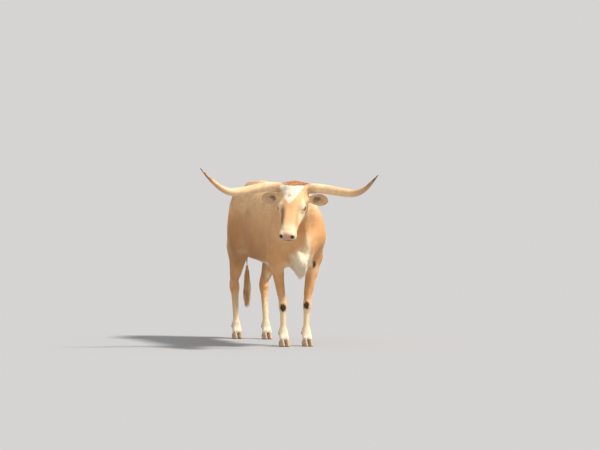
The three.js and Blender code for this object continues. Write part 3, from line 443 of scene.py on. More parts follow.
# The skin lies below the solids by the coat's depth, which is least on the face and none on the ears.
COAT_DEPTH = 0.0045
FACE_DEPTH = 0.0016
POLL_DEPTH = 0.008
face = face_share(places)
ear = ear_share(places)
depth = COAT_DEPTH * (1 - face) * (1 - 0.4 * lower) + FACE_DEPTH * face * (1 - ear) + POLL_DEPTH * poll
places = places + normals * (raised - depth)[:, None]
hide_mesh.vertices.foreach_set("co", places.ravel())
hide_mesh.update()
normals = read_normals(hide_mesh)
ear = ear_share(places)
# The ear's inside, within a pale rim
forward_ear = normals @ -np.array(CROWN.col[1][:3])
aside = in_frame(places, CROWN)
from_cup = np.hypot((np.abs(aside[:, 0]) - 0.208) / 0.076, (aside[:, 2] + 0.131) / 0.047)
inner = ear * step(forward_ear, 0.0, 0.3) * step(from_cup, 0.98, 0.5)
for label, values in (("inner", inner), ("crease", crease)):
    hide_mesh.attributes.new(label, "FLOAT", "POINT").data.foreach_set("value", values.astype(np.float32))


# The hide's colours. Skin and hair share one pattern, laid out on the standing animal: golden tan all
# over, a white triangle on the brow, cream cheeks, muzzle, brisket, belly and shanks, and near-black
# patches on the knees and the left elbow, with painted light and painted shade laid over them.
def new_group(name, inputs, outputs):
    group = bpy.data.node_groups.new(name, "ShaderNodeTree")
    for label, kind in inputs:
        group.interface.new_socket(label, in_out="INPUT", socket_type=kind)
    for label, kind in outputs:
        group.interface.new_socket(label, in_out="OUTPUT", socket_type=kind)
    return group, group.nodes.new("NodeGroupInput"), group.nodes.new("NodeGroupOutput")


def math_node(tree, operation, first, second=None):
    node = add_node(tree, "ShaderNodeMath", operation=operation)
    for socket, value in zip(node.inputs, (first, second)):
        if isinstance(value, (int, float)):
            socket.default_value = value
        elif value is not None:
            tree.links.new(value, socket)
    return node.outputs[0]


def ramp(tree, value, low, high, smooth=True):
    """0 at the low value, 1 at the high one."""
    node = add_node(tree, "ShaderNodeMapRange", interpolation_type="SMOOTHSTEP" if smooth else "LINEAR")
    tree.links.new(value, node.inputs["Value"])
    node.inputs["From Min"].default_value = low
    node.inputs["From Max"].default_value = high
    return node.outputs["Result"]


def set_in(tree, place, centre, radii=(1, 1, 1), turn=(0, 0, 0)):
    """The place as seen from a centre, turned, in shares of the radii."""
    node = add_node(tree, "ShaderNodeMapping", vector_type="TEXTURE")
    node.inputs["Location"].default_value = centre
    node.inputs["Rotation"].default_value = turn
    node.inputs["Scale"].default_value = radii
    tree.links.new(place, node.inputs["Vector"])
    return node.outputs["Vector"]


def patch(tree, place, centre, radii, soft):
    length = add_node(tree, "ShaderNodeVectorMath", operation="LENGTH")
    tree.links.new(set_in(tree, place, centre, radii), length.inputs[0])
    return ramp(tree, length.outputs["Value"], 1 + soft, 1 - soft)


def paint(tree, under, mask, colour, share=1.0):
    mix = add_node(tree, "ShaderNodeMix", data_type="RGBA")
    tree.links.new(math_node(tree, "MULTIPLY", mask, share) if share < 1 else mask, mix.inputs["Factor"])
    for label, value in (("A", under), ("B", colour)):
        socket = next(s for s in mix.inputs if s.name == label and s.type == "RGBA")
        if isinstance(value, tuple):
            socket.default_value = value
        else:
            tree.links.new(value, socket)
    return next(s for s in mix.outputs if s.type == "RGBA")


def mottle(tree, place, scale, detail=3.0):
    noise = add_node(tree, "ShaderNodeTexNoise")
    tree.links.new(place, noise.inputs["Vector"])
    noise.inputs["Scale"].default_value = scale
    noise.inputs["Detail"].default_value = detail
    return noise.outputs["Fac"], noise.outputs["Color"]


def attribute(tree, name, output="Fac"):
    return add_node(tree, "ShaderNodeAttribute", attribute_name=name).outputs[output]


def on_piece(tree):
    return add_node(tree, "ShaderNodeTexCoord").outputs["Object"]


TAN = srgb(224, 170, 116)
DEEP_TAN = srgb(182, 124, 74)
PALE_TAN = srgb(236, 194, 144)
CREAM = srgb(246, 225, 188)
WHITE = srgb(242, 232, 212)
RED_BROWN = srgb(180, 110, 58)
NEAR_BLACK = srgb(34, 21, 15)
NOSE_PINK = srgb(216, 166, 136)
# Where each foot stands and the tail hangs: to the animal's left, ahead of its middle
FOOTFALLS = {
    "foreleg_right": (-0.118, 0.5),
    "foreleg_left": (0.094, 0.515),
    "hindleg_right": (-0.13, -0.845),
    "hindleg_left": (0.112, -0.69),
}
TAIL = (0.012, -0.955)

marks, marks_in, marks_out = new_group(
    "hide_markings",
    [("Place", "NodeSocketVector"), ("Inner Ear", "NodeSocketFloat")],
    [("Color", "NodeSocketColor"), ("Bare", "NodeSocketFloat")],
)
mark_place = marks_in.outputs["Place"]
inside_ear = marks_in.outputs["Inner Ear"]
# The borders of the markings are ragged: a noise shakes the place by up to half of this length.
SHAKEN = 0.022
_, ragged_noise = mottle(marks, mark_place, 38)
shake = add_node(marks, "ShaderNodeVectorMath", operation="MULTIPLY_ADD")
marks.links.new(ragged_noise, shake.inputs[0])
shake.inputs[1].default_value = (SHAKEN, SHAKEN, SHAKEN)
marks.links.new(mark_place, shake.inputs[2])
ragged = set_in(marks, shake.outputs["Vector"], (SHAKEN / 2, SHAKEN / 2, SHAKEN / 2))
height = add_node(marks, "ShaderNodeSeparateXYZ")
marks.links.new(ragged, height.inputs[0])
up = height.outputs["Z"]
coat_colour = TAN


def body_patch(centre, radii, soft):
    return patch(marks, ragged, stand(*centre), radii, soft)


def mark(mask, tint, share=1.0):
    """Lays one more marking, or painted light or shade, over those before it."""
    global coat_colour
    coat_colour = paint(marks, coat_colour, mask, tint, share)


cloud, _ = mottle(marks, mark_place, 3.2, 4)
mark(ramp(marks, cloud, 0.42, 0.66), PALE_TAN, 0.55)
mark(ramp(marks, cloud, 0.5, 0.3), DEEP_TAN, 0.35)
# Painted light: paler, in streaks, over the back and the upper flank, where the lamp falls on the top of the
# body
streaked, _ = mottle(marks, set_in(marks, mark_place, (0, 0, 0), (0.05, 0.13, 0.035), (0.5, 0, 0)), 1.0, 3)
upper = math_node(marks, "MULTIPLY", ramp(marks, up, 1.08, 1.30), ramp(marks, streaked, 0.30, 0.55))
mark(upper, srgb(240, 210, 168), 0.62)
# Painted shade: deeper on the barrel and the thighs than on the shoulders
mark(body_patch((0, -0.25, 0.92), (0.6, 0.62, 0.26), 0.45), srgb(164, 108, 62), 0.5)
# Belly, brisket, inside of the legs and the shanks
for centre, radii, soft, share in (
    ((0, 0.05, 0.70), (0.20, 0.62, 0.075), 0.5, 0.9),
    ((-0.02, 0.74, 0.70), (0.12, 0.15, 0.17), 0.3, 0.95),
    ((0.0, 0.56, 0.70), (0.10, 0.14, 0.16), 0.4, 0.9),
    ((0.075, 0.63, 0.735), (0.06, 0.09, 0.045), 0.4, 0.8),
    ((0.01, 0.80, 0.87), (0.035, 0.09, 0.13), 0.5, 0.75),
    ((0, -0.62, 0.86), (0.09, 0.22, 0.20), 0.4, 0.8),
    ((-0.24, -0.37, 0.83), (0.05, 0.08, 0.022), 0.8, 0.25),
    ((0.24, -0.37, 0.83), (0.05, 0.08, 0.022), 0.8, 0.25),
):
    mark(body_patch(centre, radii, soft), CREAM, share)
mark(ramp(marks, up, 0.50, 0.24), CREAM, 0.9)
for stance, ahead in FOOTFALLS.values():
    # The back of each shank stays tan; the pastern is nearly white.
    mark(body_patch((stance, ahead - 0.045, 0.30), (0.035, 0.022, 0.16), 0.5), TAN, 0.7)
mark(ramp(marks, up, 0.19, 0.12), WHITE, 0.85)
mark(body_patch((0.110, -0.655, 0.42), (0.05, 0.05, 0.22), 0.3), CREAM, 0.9)
mark(body_patch((-0.01, 0.77, 0.71), (0.11, 0.14, 0.15), 0.4), WHITE, 0.6)
# Knees, elbow and the pale patch beside it
for centre, radii in (
    ((-0.134, 0.552, 0.350), (0.031, 0.036, 0.039)),
    ((0.078, 0.560, 0.370), (0.024, 0.030, 0.035)),
    ((0.151, 0.571, 0.738), (0.014, 0.032, 0.033)),
):
    mark(body_patch(centre, radii, 0.14), NEAR_BLACK, 0.95)
mark(body_patch((0.124, 0.563, 0.732), (0.011, 0.04, 0.026), 0.25), CREAM, 0.9)

# On the head, laid out from the poll: to its left, ahead towards the muzzle, above the brow
on_head = set_in(marks, ragged, POLL, (1, 1, 1), HEAD.to_euler())
head_split = add_node(marks, "ShaderNodeSeparateXYZ")
marks.links.new(on_head, head_split.inputs[0])
head_side, head_back, head_above = head_split.outputs


def face_patch(side, ahead, above, radii, soft):
    return patch(marks, on_head, (side, -ahead, above), radii, soft)


mark(face_patch(0, 0.24, -0.03, (0.09, 0.24, 0.05), 0.4), srgb(238, 188, 134), 0.75)
mark(face_patch(0, 0.42, -0.06, (0.07, 0.13, 0.05), 0.5), PALE_TAN, 0.8)
for s in (-1, 1):
    mark(face_patch(s * 0.105, 0.245, -0.09, (0.042, 0.12, 0.085), 0.35), CREAM, 0.9)
    mark(face_patch(s * 0.105, 0.165, -0.045, (0.03, 0.035, 0.03), 0.4), CREAM, 0.8)
    # Painted shade beside the nose, over some brown hair: the streak is deeper and wider on the right, the
    # side away from the lamp.
    nose_side_shade = face_patch(s * 0.065, 0.31, -0.06, (0.020 - 0.007 * s, 0.11, 0.04), 0.5)
    mark(nose_side_shade, srgb(146, 92, 52), 0.55 - 0.3 * s)
in_front = face_patch(0, 0.30, -0.08, (0.16, 0.36, 0.30), 0.05)
muzzle_band = math_node(marks, "MULTIPLY", ramp(marks, head_back, -0.375, -0.465), in_front)
mark(muzzle_band, srgb(238, 219, 182), 0.92)
# The triangle starts at a point between the eyes and widens towards the poll.
TRIANGLE_POINT = 0.218
TRIANGLE_ASIDE = 0.016
from_middle = math_node(marks, "ABSOLUTE", math_node(marks, "ADD", head_side, TRIANGLE_ASIDE))
from_point = math_node(marks, "MAXIMUM", math_node(marks, "ADD", head_back, TRIANGLE_POINT), 0.0)
width = math_node(marks, "MULTIPLY", math_node(marks, "POWER", from_point, 0.66), 0.301)
triangle = ramp(marks, math_node(marks, "SUBTRACT", width, from_middle), 0.001, 0.006)
triangle = math_node(marks, "MULTIPLY", triangle, ramp(marks, head_above, -0.085, -0.06))
triangle = math_node(marks, "MULTIPLY", triangle, ramp(marks, head_back, 0.03, 0.01))
mark(triangle, WHITE)
mark(face_patch(-0.024, 0.131, 0.0, (0.012, 0.020, 0.03), 0.6), DEEP_TAN, 0.6)
mark(face_patch(0.012, -0.040, -0.02, (0.115, 0.047, 0.08), 0.25), RED_BROWN, 0.92)
# Bare skin: nose pad between and under the nostrils, lips, and the rims of the eyes
pad = face_patch(0, 0.522, -0.090, (0.046, 0.040, 0.042), 0.22)
lips = face_patch(0, 0.512, -0.139, (0.070, 0.05, 0.016), 0.35)
bare = math_node(marks, "MAXIMUM", pad, lips)
mark(pad, NOSE_PINK, 0.95)
# The lips are dark bare skin. Their colour is deepened further as painted shade under the nose.
mark(lips, srgb(84, 54, 42), 0.85)
for s in (-1, 1):
    # The openings of the nostrils are painted near-black: painted shade in the holes.
    painted_nostril_shade = face_patch(s * NOSTRIL_ASIDE, 0.522, -NOSTRIL_BELOW, (0.017, 0.032, 0.021), 0.3)
    mark(painted_nostril_shade, srgb(26, 14, 10), 0.95)
    rim = face_patch(s * 0.104, 0.219, -0.060, (0.026, 0.028, 0.021), 0.15)
    mark(rim, srgb(70, 46, 34), 0.85)
    bare = math_node(marks, "MAXIMUM", bare, rim)
# The ear's inside is pale along its rim, then pink, and dark in the cup, where the dark is painted shade in
# the hollow.
mark(ramp(marks, inside_ear, 0.02, 0.3), srgb(238, 216, 180), 0.85)
mark(ramp(marks, inside_ear, 0.35, 0.85), srgb(222, 174, 140), 0.9)
for s in (-1, 1):
    cup = HEAD.inverted() @ CROWN @ Vector((s * 0.190, 0.045, -0.128))
    cupped = patch(marks, on_head, cup, (0.034, 0.05, 0.017), 0.5)
    mark(math_node(marks, "MULTIPLY", cupped, inside_ear), srgb(78, 48, 38), 0.85)
mark(body_patch((*TAIL, 0.45), (0.12, 0.12, 0.21), 0.15), srgb(206, 172, 130), 0.85)
marks.links.new(coat_colour, marks_out.inputs["Color"])
marks.links.new(bare, marks_out.inputs["Bare"])


def linked_bump(tree, height, strength, distance, normal=None):
    bump = add_node(tree, "ShaderNodeBump")
    bump.inputs["Strength"].default_value = strength
    bump.inputs["Distance"].default_value = distance
    tree.links.new(height, bump.inputs["Height"])
    if normal is not None:
        tree.links.new(normal, bump.inputs["Normal"])
    return bump.outputs["Normal"]


hide_finish, tree, shader = new_finish("hide", {"Sheen Weight": 0.06, "Specular IOR Level": 0.3})
place = on_piece(tree)
painted = add_node(tree, "ShaderNodeGroup", node_tree=marks)
tree.links.new(place, painted.inputs["Place"])
tree.links.new(attribute(tree, "inner"), painted.inputs["Inner Ear"])
# Short hair that lies flat: fine streaks along the body
streaks, _ = mottle(tree, set_in(tree, place, (0, 0, 0), (0.0022, 0.022, 0.009)), 1.0, 2)
shade = paint(tree, painted.outputs["Color"], ramp(tree, streaks, 0.62, 0.38), DEEP_TAN, 0.22)
# Painted shade along the mouth line and in the hollows of the nostrils
shade = paint(tree, shade, ramp(tree, attribute(tree, "crease"), 0.25, 0.9), srgb(46, 26, 20), 0.85)
tree.links.new(shade, shader.inputs["Base Color"])
rough = add_node(tree, "ShaderNodeMapRange")
tree.links.new(painted.outputs["Bare"], rough.inputs["Value"])
rough.inputs["To Min"].default_value = 0.72
rough.inputs["To Max"].default_value = 0.34
tree.links.new(rough.outputs["Result"], shader.inputs["Roughness"])
pores = add_node(tree, "ShaderNodeTexVoronoi")
pores.inputs["Scale"].default_value = 210
tree.links.new(place, pores.inputs["Vector"])
pebbled = math_node(tree, "MULTIPLY", pores.outputs["Distance"], painted.outputs["Bare"])
normal = linked_bump(tree, streaks, 0.35, 0.002)
normal = linked_bump(tree, pebbled, 0.85, 0.004, normal)
tree.links.new(normal, shader.inputs["Normal"])

hide_mesh.shade_smooth()
hide_mesh.materials.append(hide_finish)
hide = bpy.data.objects.new("hide", hide_mesh)
bpy.context.scene.collection.objects.link(hide)
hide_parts(*FLESH_NODES)
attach(hide, "root")


# Horns: hollow horn over a bony core, thick and round at the skull, sweeping out, down and forward,
# then up to slender tips. The left one dips less. They ring and crack a little near the hair.
HORN_SEAT = (0.128, 0.004, -0.050)
HORN_ROUTE = [
    # out from its seat, up, forward, radius
    (-0.012, 0.000, 0.000, 0.0430),
    (0.082, 0.003, 0.000, 0.0420),
    (0.172, -0.008, 0.018, 0.0400),
    (0.272, -0.033, 0.058, 0.0385),
    (0.372, -0.052, 0.112, 0.0360),
    (0.432, -0.052, 0.148, 0.0325),
    (0.492, -0.024, 0.186, 0.0270),
    (0.552, 0.022, 0.214, 0.0205),
    (0.602, 0.070, 0.236, 0.0145),
    (0.667, 0.141, 0.262, 0.0035),
]


def eased(stations, t):
    """A point of a smooth line through equally weighted stations, t from 0 to 1."""
    f = t * (len(stations) - 1)
    i = min(int(f), len(stations) - 2)
    u = f - i
    p = [np.array(stations[min(max(k, 0), len(stations) - 1)]) for k in (i - 1, i, i + 1, i + 2)]
    bend = (2 * p[0] - 5 * p[1] + 4 * p[2] - p[3]) * u**2
    turn = (3 * p[1] - p[0] - 3 * p[2] + p[3]) * u**3
    return 0.5 * (2 * p[1] + (p[2] - p[0]) * u + bend + turn)


def swept(route, sides, steps, swell=None):
    """A round closed bar along a route of (x, y, z, radius), extruded ring by ring from a circle."""
    shell = bmesh.new()
    along = shell.verts.layers.float.new("along")
    line = [eased(route, k / steps) for k in range(steps + 1)]
    ring = bmesh.ops.create_circle(shell, segments=sides, radius=1)["verts"]
    rest = [v.co.copy() for v in ring]
    twist = None
    for k, (x, y, z, radius) in enumerate(line):
        way = Vector(line[min(k + 1, steps)][:3] - line[max(k - 1, 0)][:3]).normalized()
        if twist is None:
            twist = way.to_track_quat("Z", "Y")
        twist = (twist @ Vector((0, 0, 1))).rotation_difference(way) @ twist
        if k:
            edges = [e for e in shell.edges if set(e.verts) <= set(ring)]
            made = bmesh.ops.extrude_edge_only(shell, edges=edges)["geom"]
            grown = [g for g in made if isinstance(g, bmesh.types.BMVert)]
            ring = sorted(grown, key=lambda v: min(range(sides), key=lambda i: (v.co - placed[i]).length))
        placed = []
        for i, vert in enumerate(ring):
            grow = swell(k / steps, i / sides) if swell else 1
            vert.co = Vector((x, y, z)) + twist @ (rest[i] * radius * grow)
            vert[along] = k / steps
            placed.append(vert.co.copy())
    bmesh.ops.holes_fill(shell, edges=shell.edges, sides=0)
    bmesh.ops.recalc_face_normals(shell, faces=shell.faces)
    return shell


def horn_swell(t, around):
    """Uneven rings near the head, and slow waves all along."""
    uneven = 5 * math.sin(31 * t) + 2.0 * math.sin(6.3 * around)
    rings = 0.011 * math.sin(t * 165 + uneven) * max(0, 1 - 3.6 * t) ** 1.5
    return 1 + rings + 0.008 * math.sin(7 * t + 12.6 * around) - 0.004


horn_finish, tree, shader = new_finish("horn", {"Coat Weight": 0.12, "Coat Roughness": 0.35})
reach = attribute(tree, "along")
grain, _ = mottle(tree, on_piece(tree), 26, 5)
wander = math_node(tree, "ADD", reach, math_node(tree, "MULTIPLY", grain, 0.05))
colour = paint(tree, srgb(246, 216, 174), ramp(tree, wander, 0.10, 0.34), srgb(242, 204, 160))
colour = paint(tree, colour, ramp(tree, wander, 0.46, 0.78), srgb(204, 154, 110))
colour = paint(tree, colour, ramp(tree, wander, 0.79, 0.99), srgb(98, 64, 42))
colour = paint(tree, colour, ramp(tree, wander, 0.10, 0.05), srgb(168, 120, 82), 0.7)
colour = paint(tree, colour, ramp(tree, grain, 0.60, 0.42), srgb(222, 178, 132), 0.45)
tree.links.new(colour, shader.inputs["Base Color"])
tree.links.new(ramp(tree, grain, -0.6, 1.9, smooth=False), shader.inputs["Roughness"])
ridges = add_node(tree, "ShaderNodeTexWave", wave_type="BANDS", bands_direction="X")
ridges.inputs["Scale"].default_value = 34
ridges.inputs["Distortion"].default_value = 5
ridges.inputs["Detail"].default_value = 2
tree.links.new(reach, ridges.inputs["Vector"])
fading = math_node(tree, "MULTIPLY", ridges.outputs["Fac"], ramp(tree, reach, 0.3, 0.03))
normal = linked_bump(tree, fading, 0.16, 0.0015)
normal = linked_bump(tree, grain, 0.15, 0.001, normal)
tree.links.new(normal, shader.inputs["Normal"])


def horn_seat(s):
    """The middle of a horn's foot in the crown's frame, 1 for the left one and -1 for the right."""
    return PITCH @ Vector((s * HORN_SEAT[0], -HORN_SEAT[1], HORN_SEAT[2]))


for name, s, dip, length in (("horn_left", 1, 0.5, 0.965), ("horn_right", -1, 1.0, 1.0)):
    route = []
    for out, rise, forward, radius in HORN_ROUTE:
        local = horn_seat(s) + Vector((s * out * length, -forward, rise * dip if rise < 0 else rise))
        route.append((*(CROWN @ local), radius - 0.0006))
    horn = add_piece(name, swept(route, 40, 150, horn_swell), horn_finish)
    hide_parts(name)
    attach(horn, "root")


# Hooves: two claws of grey-brown horn on each foot, with fine growth lines round them, worn flat
# below, and two small dewclaws behind each fetlock.
def smoothed_copy(node, grain, rounds):
    """A claw with its edges worn round, drawn in a little towards its upper edge."""
    shell = melted([node], grain)
    mesh = bpy.data.meshes.new(node)
    shell.to_mesh(mesh)
    even = relaxed(mesh, np.full(len(mesh.vertices), float(rounds)), 0.5)
    even[:, 2] -= even[:, 2].min()
    tall = even[:, 2:] / even[:, 2].max()
    middle = even.mean(0)
    even[:, :2] += (middle[:2] - even[:, :2]) * 0.13 * tall**2
    for vert, place in zip(shell.verts, even):
        vert.co = place
    bpy.data.meshes.remove(mesh)
    return shell


hoof_finish, tree, shader = new_finish("hoof", {})
place = on_piece(tree)
lines, _ = mottle(tree, set_in(tree, place, (0, 0, 0), (0.07, 0.07, 0.0060)), 1.0, 2)
grain, _ = mottle(tree, place, 60, 4)
level = add_node(tree, "ShaderNodeSeparateXYZ")
tree.links.new(place, level.inputs[0])
colour = paint(tree, srgb(168, 146, 118), ramp(tree, lines, 0.35, 0.65), srgb(198, 176, 146))
colour = paint(tree, colour, ramp(tree, grain, 0.6, 0.4), srgb(140, 116, 90), 0.25)
colour = paint(tree, colour, ramp(tree, level.outputs["Z"], 0.014, 0.0), srgb(74, 60, 48), 0.7)
tree.links.new(colour, shader.inputs["Base Color"])
tree.links.new(ramp(tree, lines, -0.5, 1.2, smooth=False), shader.inputs["Roughness"])
normal = linked_bump(tree, lines, 0.22, 0.0012)
tree.links.new(linked_bump(tree, grain, 0.08, 0.001, normal), shader.inputs["Normal"])

for leg in LEGS:
    for claw in ("outer", "inner"):
        node = f"hoof_{leg}_{claw}"
        hoof = add_piece(f"{node}_shell", smoothed_copy(node, 0.0028, 14), hoof_finish)
        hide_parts(node)
        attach(hoof, "root")

DEWCLAW = (0.0125, 0.0135, 0.018)
for leg, (stance, ahead) in FOOTFALLS.items():
    for s, word in ((-1, "right"), (1, "left")):
        shell = bmesh.new()
        bmesh.ops.create_uvsphere(shell, u_segments=16, v_segments=10, radius=1)
        bmesh.ops.scale(shell, vec=DEWCLAW, verts=shell.verts)
        bmesh.ops.rotate(shell, cent=(0, 0, 0), matrix=Matrix.Rotation(0.5, 3, "X"), verts=shell.verts)
        bmesh.ops.translate(shell, vec=stand(stance + s * 0.022, ahead - 0.040, 0.117), verts=shell.verts)
        dewclaw = add_piece(f"dewclaw_{leg}_{word}", shell, hoof_finish)
        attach(dewclaw, "root")


# Eyes: dark brown and wet, each a ball deep in its socket with a wide level pupil. The pattern of the
# iris is laid out on the ball's own axes, which it keeps as an attribute.
eye_finish, tree, shader = new_finish("eye", {"Roughness": 0.07, "Coat Weight": 0.4, "Coat Roughness": 0.03})
gaze = attribute(tree, "gaze", "Vector")
parts = add_node(tree, "ShaderNodeSeparateXYZ")
tree.links.new(gaze, parts.inputs[0])
across = math_node(tree, "MULTIPLY", parts.outputs["Y"], parts.outputs["Y"])
tall = math_node(tree, "MULTIPLY", parts.outputs["Z"], parts.outputs["Z"])
from_middle = math_node(tree, "SQRT", math_node(tree, "ADD", across, tall))
flattened = math_node(
    tree, "ADD", math_node(tree, "MULTIPLY", across, 0.3), math_node(tree, "MULTIPLY", tall, 2.4)
)
level_pupil = math_node(tree, "SQRT", flattened)
spokes, _ = mottle(tree, set_in(tree, gaze, (0, 0, 0), (1, 0.12, 0.12)), 1.0, 4)
colour = paint(tree, srgb(70, 40, 22), ramp(tree, spokes, 0.35, 0.7), srgb(104, 62, 32))
colour = paint(tree, colour, ramp(tree, from_middle, 0.62, 0.74), srgb(150, 118, 96))
colour = paint(tree, colour, ramp(tree, from_middle, 0.56, 0.64), srgb(36, 20, 14), 0.8)
colour = paint(tree, colour, ramp(tree, level_pupil, 0.40, 0.34), srgb(8, 8, 14))
tree.links.new(colour, shader.inputs["Base Color"])

EYE_CENTRE = (0.101, 0.212, -0.066)
EYE_RADIUS = 0.020


def eye_frame(s):
    """An eye's middle and its axes, out, forward and up, 1 for the left one and -1 for the right."""
    centre = HEAD @ Vector((s * EYE_CENTRE[0], -EYE_CENTRE[1], EYE_CENTRE[2]))
    out = (HEAD.to_3x3() @ Vector((s * 0.88, -0.38, 0.28))).normalized()
    face_way = (HEAD.to_3x3() @ Vector((0, -1, 0))).normalized()
    level = (face_way - out * out.dot(face_way)).normalized()
    above = out.cross(level) if out.cross(level).z > 0 else level.cross(out)
    return centre, Matrix((out, level, above)).transposed()


for name, s in (("eye_left", 1), ("eye_right", -1)):
    centre, axes = eye_frame(s)
    shell = bmesh.new()
    bmesh.ops.create_uvsphere(shell, u_segments=48, v_segments=32, radius=EYE_RADIUS - 0.0003)
    bmesh.ops.rotate(shell, cent=(0, 0, 0), matrix=turned(90, "Y"), verts=shell.verts)
    gaze_layer = shell.verts.layers.float_vector.new("gaze")
    for vert in shell.verts:
        unit = vert.co / EYE_RADIUS
        vert[gaze_layer] = unit
        # The clear front of the eye stands a little proud.
        vert.co *= 1 + 0.045 * max(0, unit.x - 0.8) / 0.2
        vert.co = centre + axes @ vert.co
    bmesh.ops.recalc_face_normals(shell, faces=shell.faces)
    eye = add_piece(f"{name}_ball", shell, eye_finish)
    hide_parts(name)
    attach(eye, "root")


# Eyelids: folds of skin drawn over the ball, cut to an almond, thick and dark along the edge. Each is
# a bent sheet with a crease along it, given its thickness and rounded.
lid_finish, tree, shader = new_finish("eyelid", {})
place = on_piece(tree)
creases, _ = mottle(tree, place, 240, 3)
dark_skin = paint(tree, srgb(58, 38, 30), ramp(tree, creases, 0.4, 0.7), srgb(96, 66, 50))
lid_marks = add_node(tree, "ShaderNodeGroup", node_tree=marks)
tree.links.new(place, lid_marks.inputs["Place"])
near_edge = ramp(tree, attribute(tree, "edge"), 0.45, 0.85)
tree.links.new(paint(tree, lid_marks.outputs["Color"], near_edge, dark_skin), shader.inputs["Base Color"])
tree.links.new(ramp(tree, creases, -0.8, 1.6, smooth=False), shader.inputs["Roughness"])
tree.links.new(linked_bump(tree, creases, 0.4, 0.001), shader.inputs["Normal"])

LID_SPAN = math.radians(58)
LID_REACH = (("upper", 27, 78), ("lower", -25, -72))
LASHES = 34
LASH_SPREAD = 0.82


def lid_place(centre, axes, yaw, rise, lift):
    out = Vector((math.cos(yaw) * math.cos(rise), math.sin(yaw) * math.cos(rise), math.sin(rise)))
    return centre + axes @ (out * (EYE_RADIUS + lift))


def lid_margin(middle, across):
    """The angle of a lid's edge above the ball's level, from its middle one to the corners."""
    return math.radians(middle) * (1 - across**2) - math.radians(2)


lash_roots = []
for side_word, s in (("left", 1), ("right", -1)):
    centre, axes = eye_frame(s)
    for lid, low, high in LID_REACH:
        shell = bmesh.new()
        edge_layer = shell.verts.layers.float.new("edge")
        bmesh.ops.create_grid(shell, x_segments=24, y_segments=10, size=1)
        for vert in shell.verts:
            across, away = vert.co.x, (vert.co.y + 1) / 2
            margin = lid_margin(low, across)
            rise = margin + (math.radians(high) - margin) * away
            fold = 0.0009 * math.exp(-(((away - 0.34) / 0.07) ** 2))
            lift = 0.0016 + 0.0009 * math.exp(-((away / 0.12) ** 2)) - fold
            vert[edge_layer] = 1 - away * 5
            vert.co = lid_place(centre, axes, LID_SPAN * across, rise, lift)
        bmesh.ops.recalc_face_normals(shell, faces=shell.faces)
        piece = add_piece(f"eyelid_{lid}_{side_word}", shell, lid_finish)
        thickness = piece.modifiers.new("thickness", "SOLIDIFY")
        thickness.thickness = 0.0022
        thickness.offset = 0
        rounding = piece.modifiers.new("rounding", "SUBSURF")
        rounding.levels = rounding.render_levels = 1
        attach(piece, "root")
    for k in range(LASHES):
        across = LASH_SPREAD * (2 * k / (LASHES - 1) - 1)
        root = lid_place(centre, axes, LID_SPAN * across, lid_margin(LID_REACH[0][1], across), 0.0022)
        outward = (root - centre).normalized()
        lash_way = outward * 0.8 - axes.col[2] * 0.45 + axes.col[1] * 0.35 * across
        lash_roots.append((root, outward, lash_way.normalized()))


# The coat: short hair lying back along the body and down the legs, longer on the poll, ears, brisket,
# fetlocks and tail. Each tuft is a thin three-sided blade rooted in the hide and coloured like it.
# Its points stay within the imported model's box.
hide_mesh.calc_loop_triangles()
hide_corners = np.empty(len(hide_mesh.loop_triangles) * 3, int)
hide_mesh.loop_triangles.foreach_get("vertices", hide_corners)
hide_corners = hide_corners.reshape(-1, 3)
first, second, third = (places[hide_corners[:, k]] for k in range(3))
hide_area = np.linalg.norm(np.cross(second - first, third - first), axis=1) / 2
hide_middle = (first + second + third) / 3
WHORL = np.array(HEAD @ Vector((-0.024, -0.131, 0.004)))
cad_low, cad_high = (np.array(tuple(corner)) for corner in cad_box)


def unit(vectors):
    return vectors / np.maximum(np.linalg.norm(vectors, axis=1), 1e-9)[:, None]


def lie_of(spots):
    """The way the hair lies: back and a little down, straight down the legs and tail, away from the
    whorl on the face, and out along the ears."""
    way = np.tile((0.0, 1.0, -0.45), (len(spots), 1))
    down = np.maximum(step(spots[:, 2], 0.86, 0.62), step(spots[:, 1] - MIDDLE.y, 0.90, 0.94))[:, None]
    way = way * (1 - down) + np.array((0, 0.12, -1.0)) * down
    around = unit(spots - WHORL)
    head = face_share(spots)[:, None]
    way = way * (1 - head) + around * head
    ears = ear_share(spots)[:, None]
    local = in_frame(spots, CROWN)
    outward = np.sign(local[:, :1]) * np.array(CROWN.col[0][:3])
    from_horn = np.hypot(local[:, 1] - 0.036, local[:, 2] + 0.035)
    near_horn = step(np.abs(local[:, 0]), 0.095, 0.125) * step(from_horn, 0.085, 0.055)
    return way * (1 - ears) + outward * np.maximum(ears, near_horn[:, None])


def rooted(weight, count, seed):
    """Random roots on the hide, denser where the weight is greater: their places, the way out of the
    skin there, how far they are inside an ear, and the source of chance for what grows there."""
    chance = np.random.default_rng(seed)
    weight = weight * hide_area
    picked = chance.choice(len(weight), count, p=weight / weight.sum())
    mix = chance.random((count, 2))
    mix[mix.sum(1) > 1] = 1 - mix[mix.sum(1) > 1]
    mix = np.column_stack([1 - mix.sum(1), mix])[:, :, None]
    corners = hide_corners[picked]
    roots = (places[corners] * mix).sum(1)
    rise = unit((normals[corners] * mix).sum(1))
    return roots, rise, (inner[corners] * mix[:, :, 0]).sum(1), chance


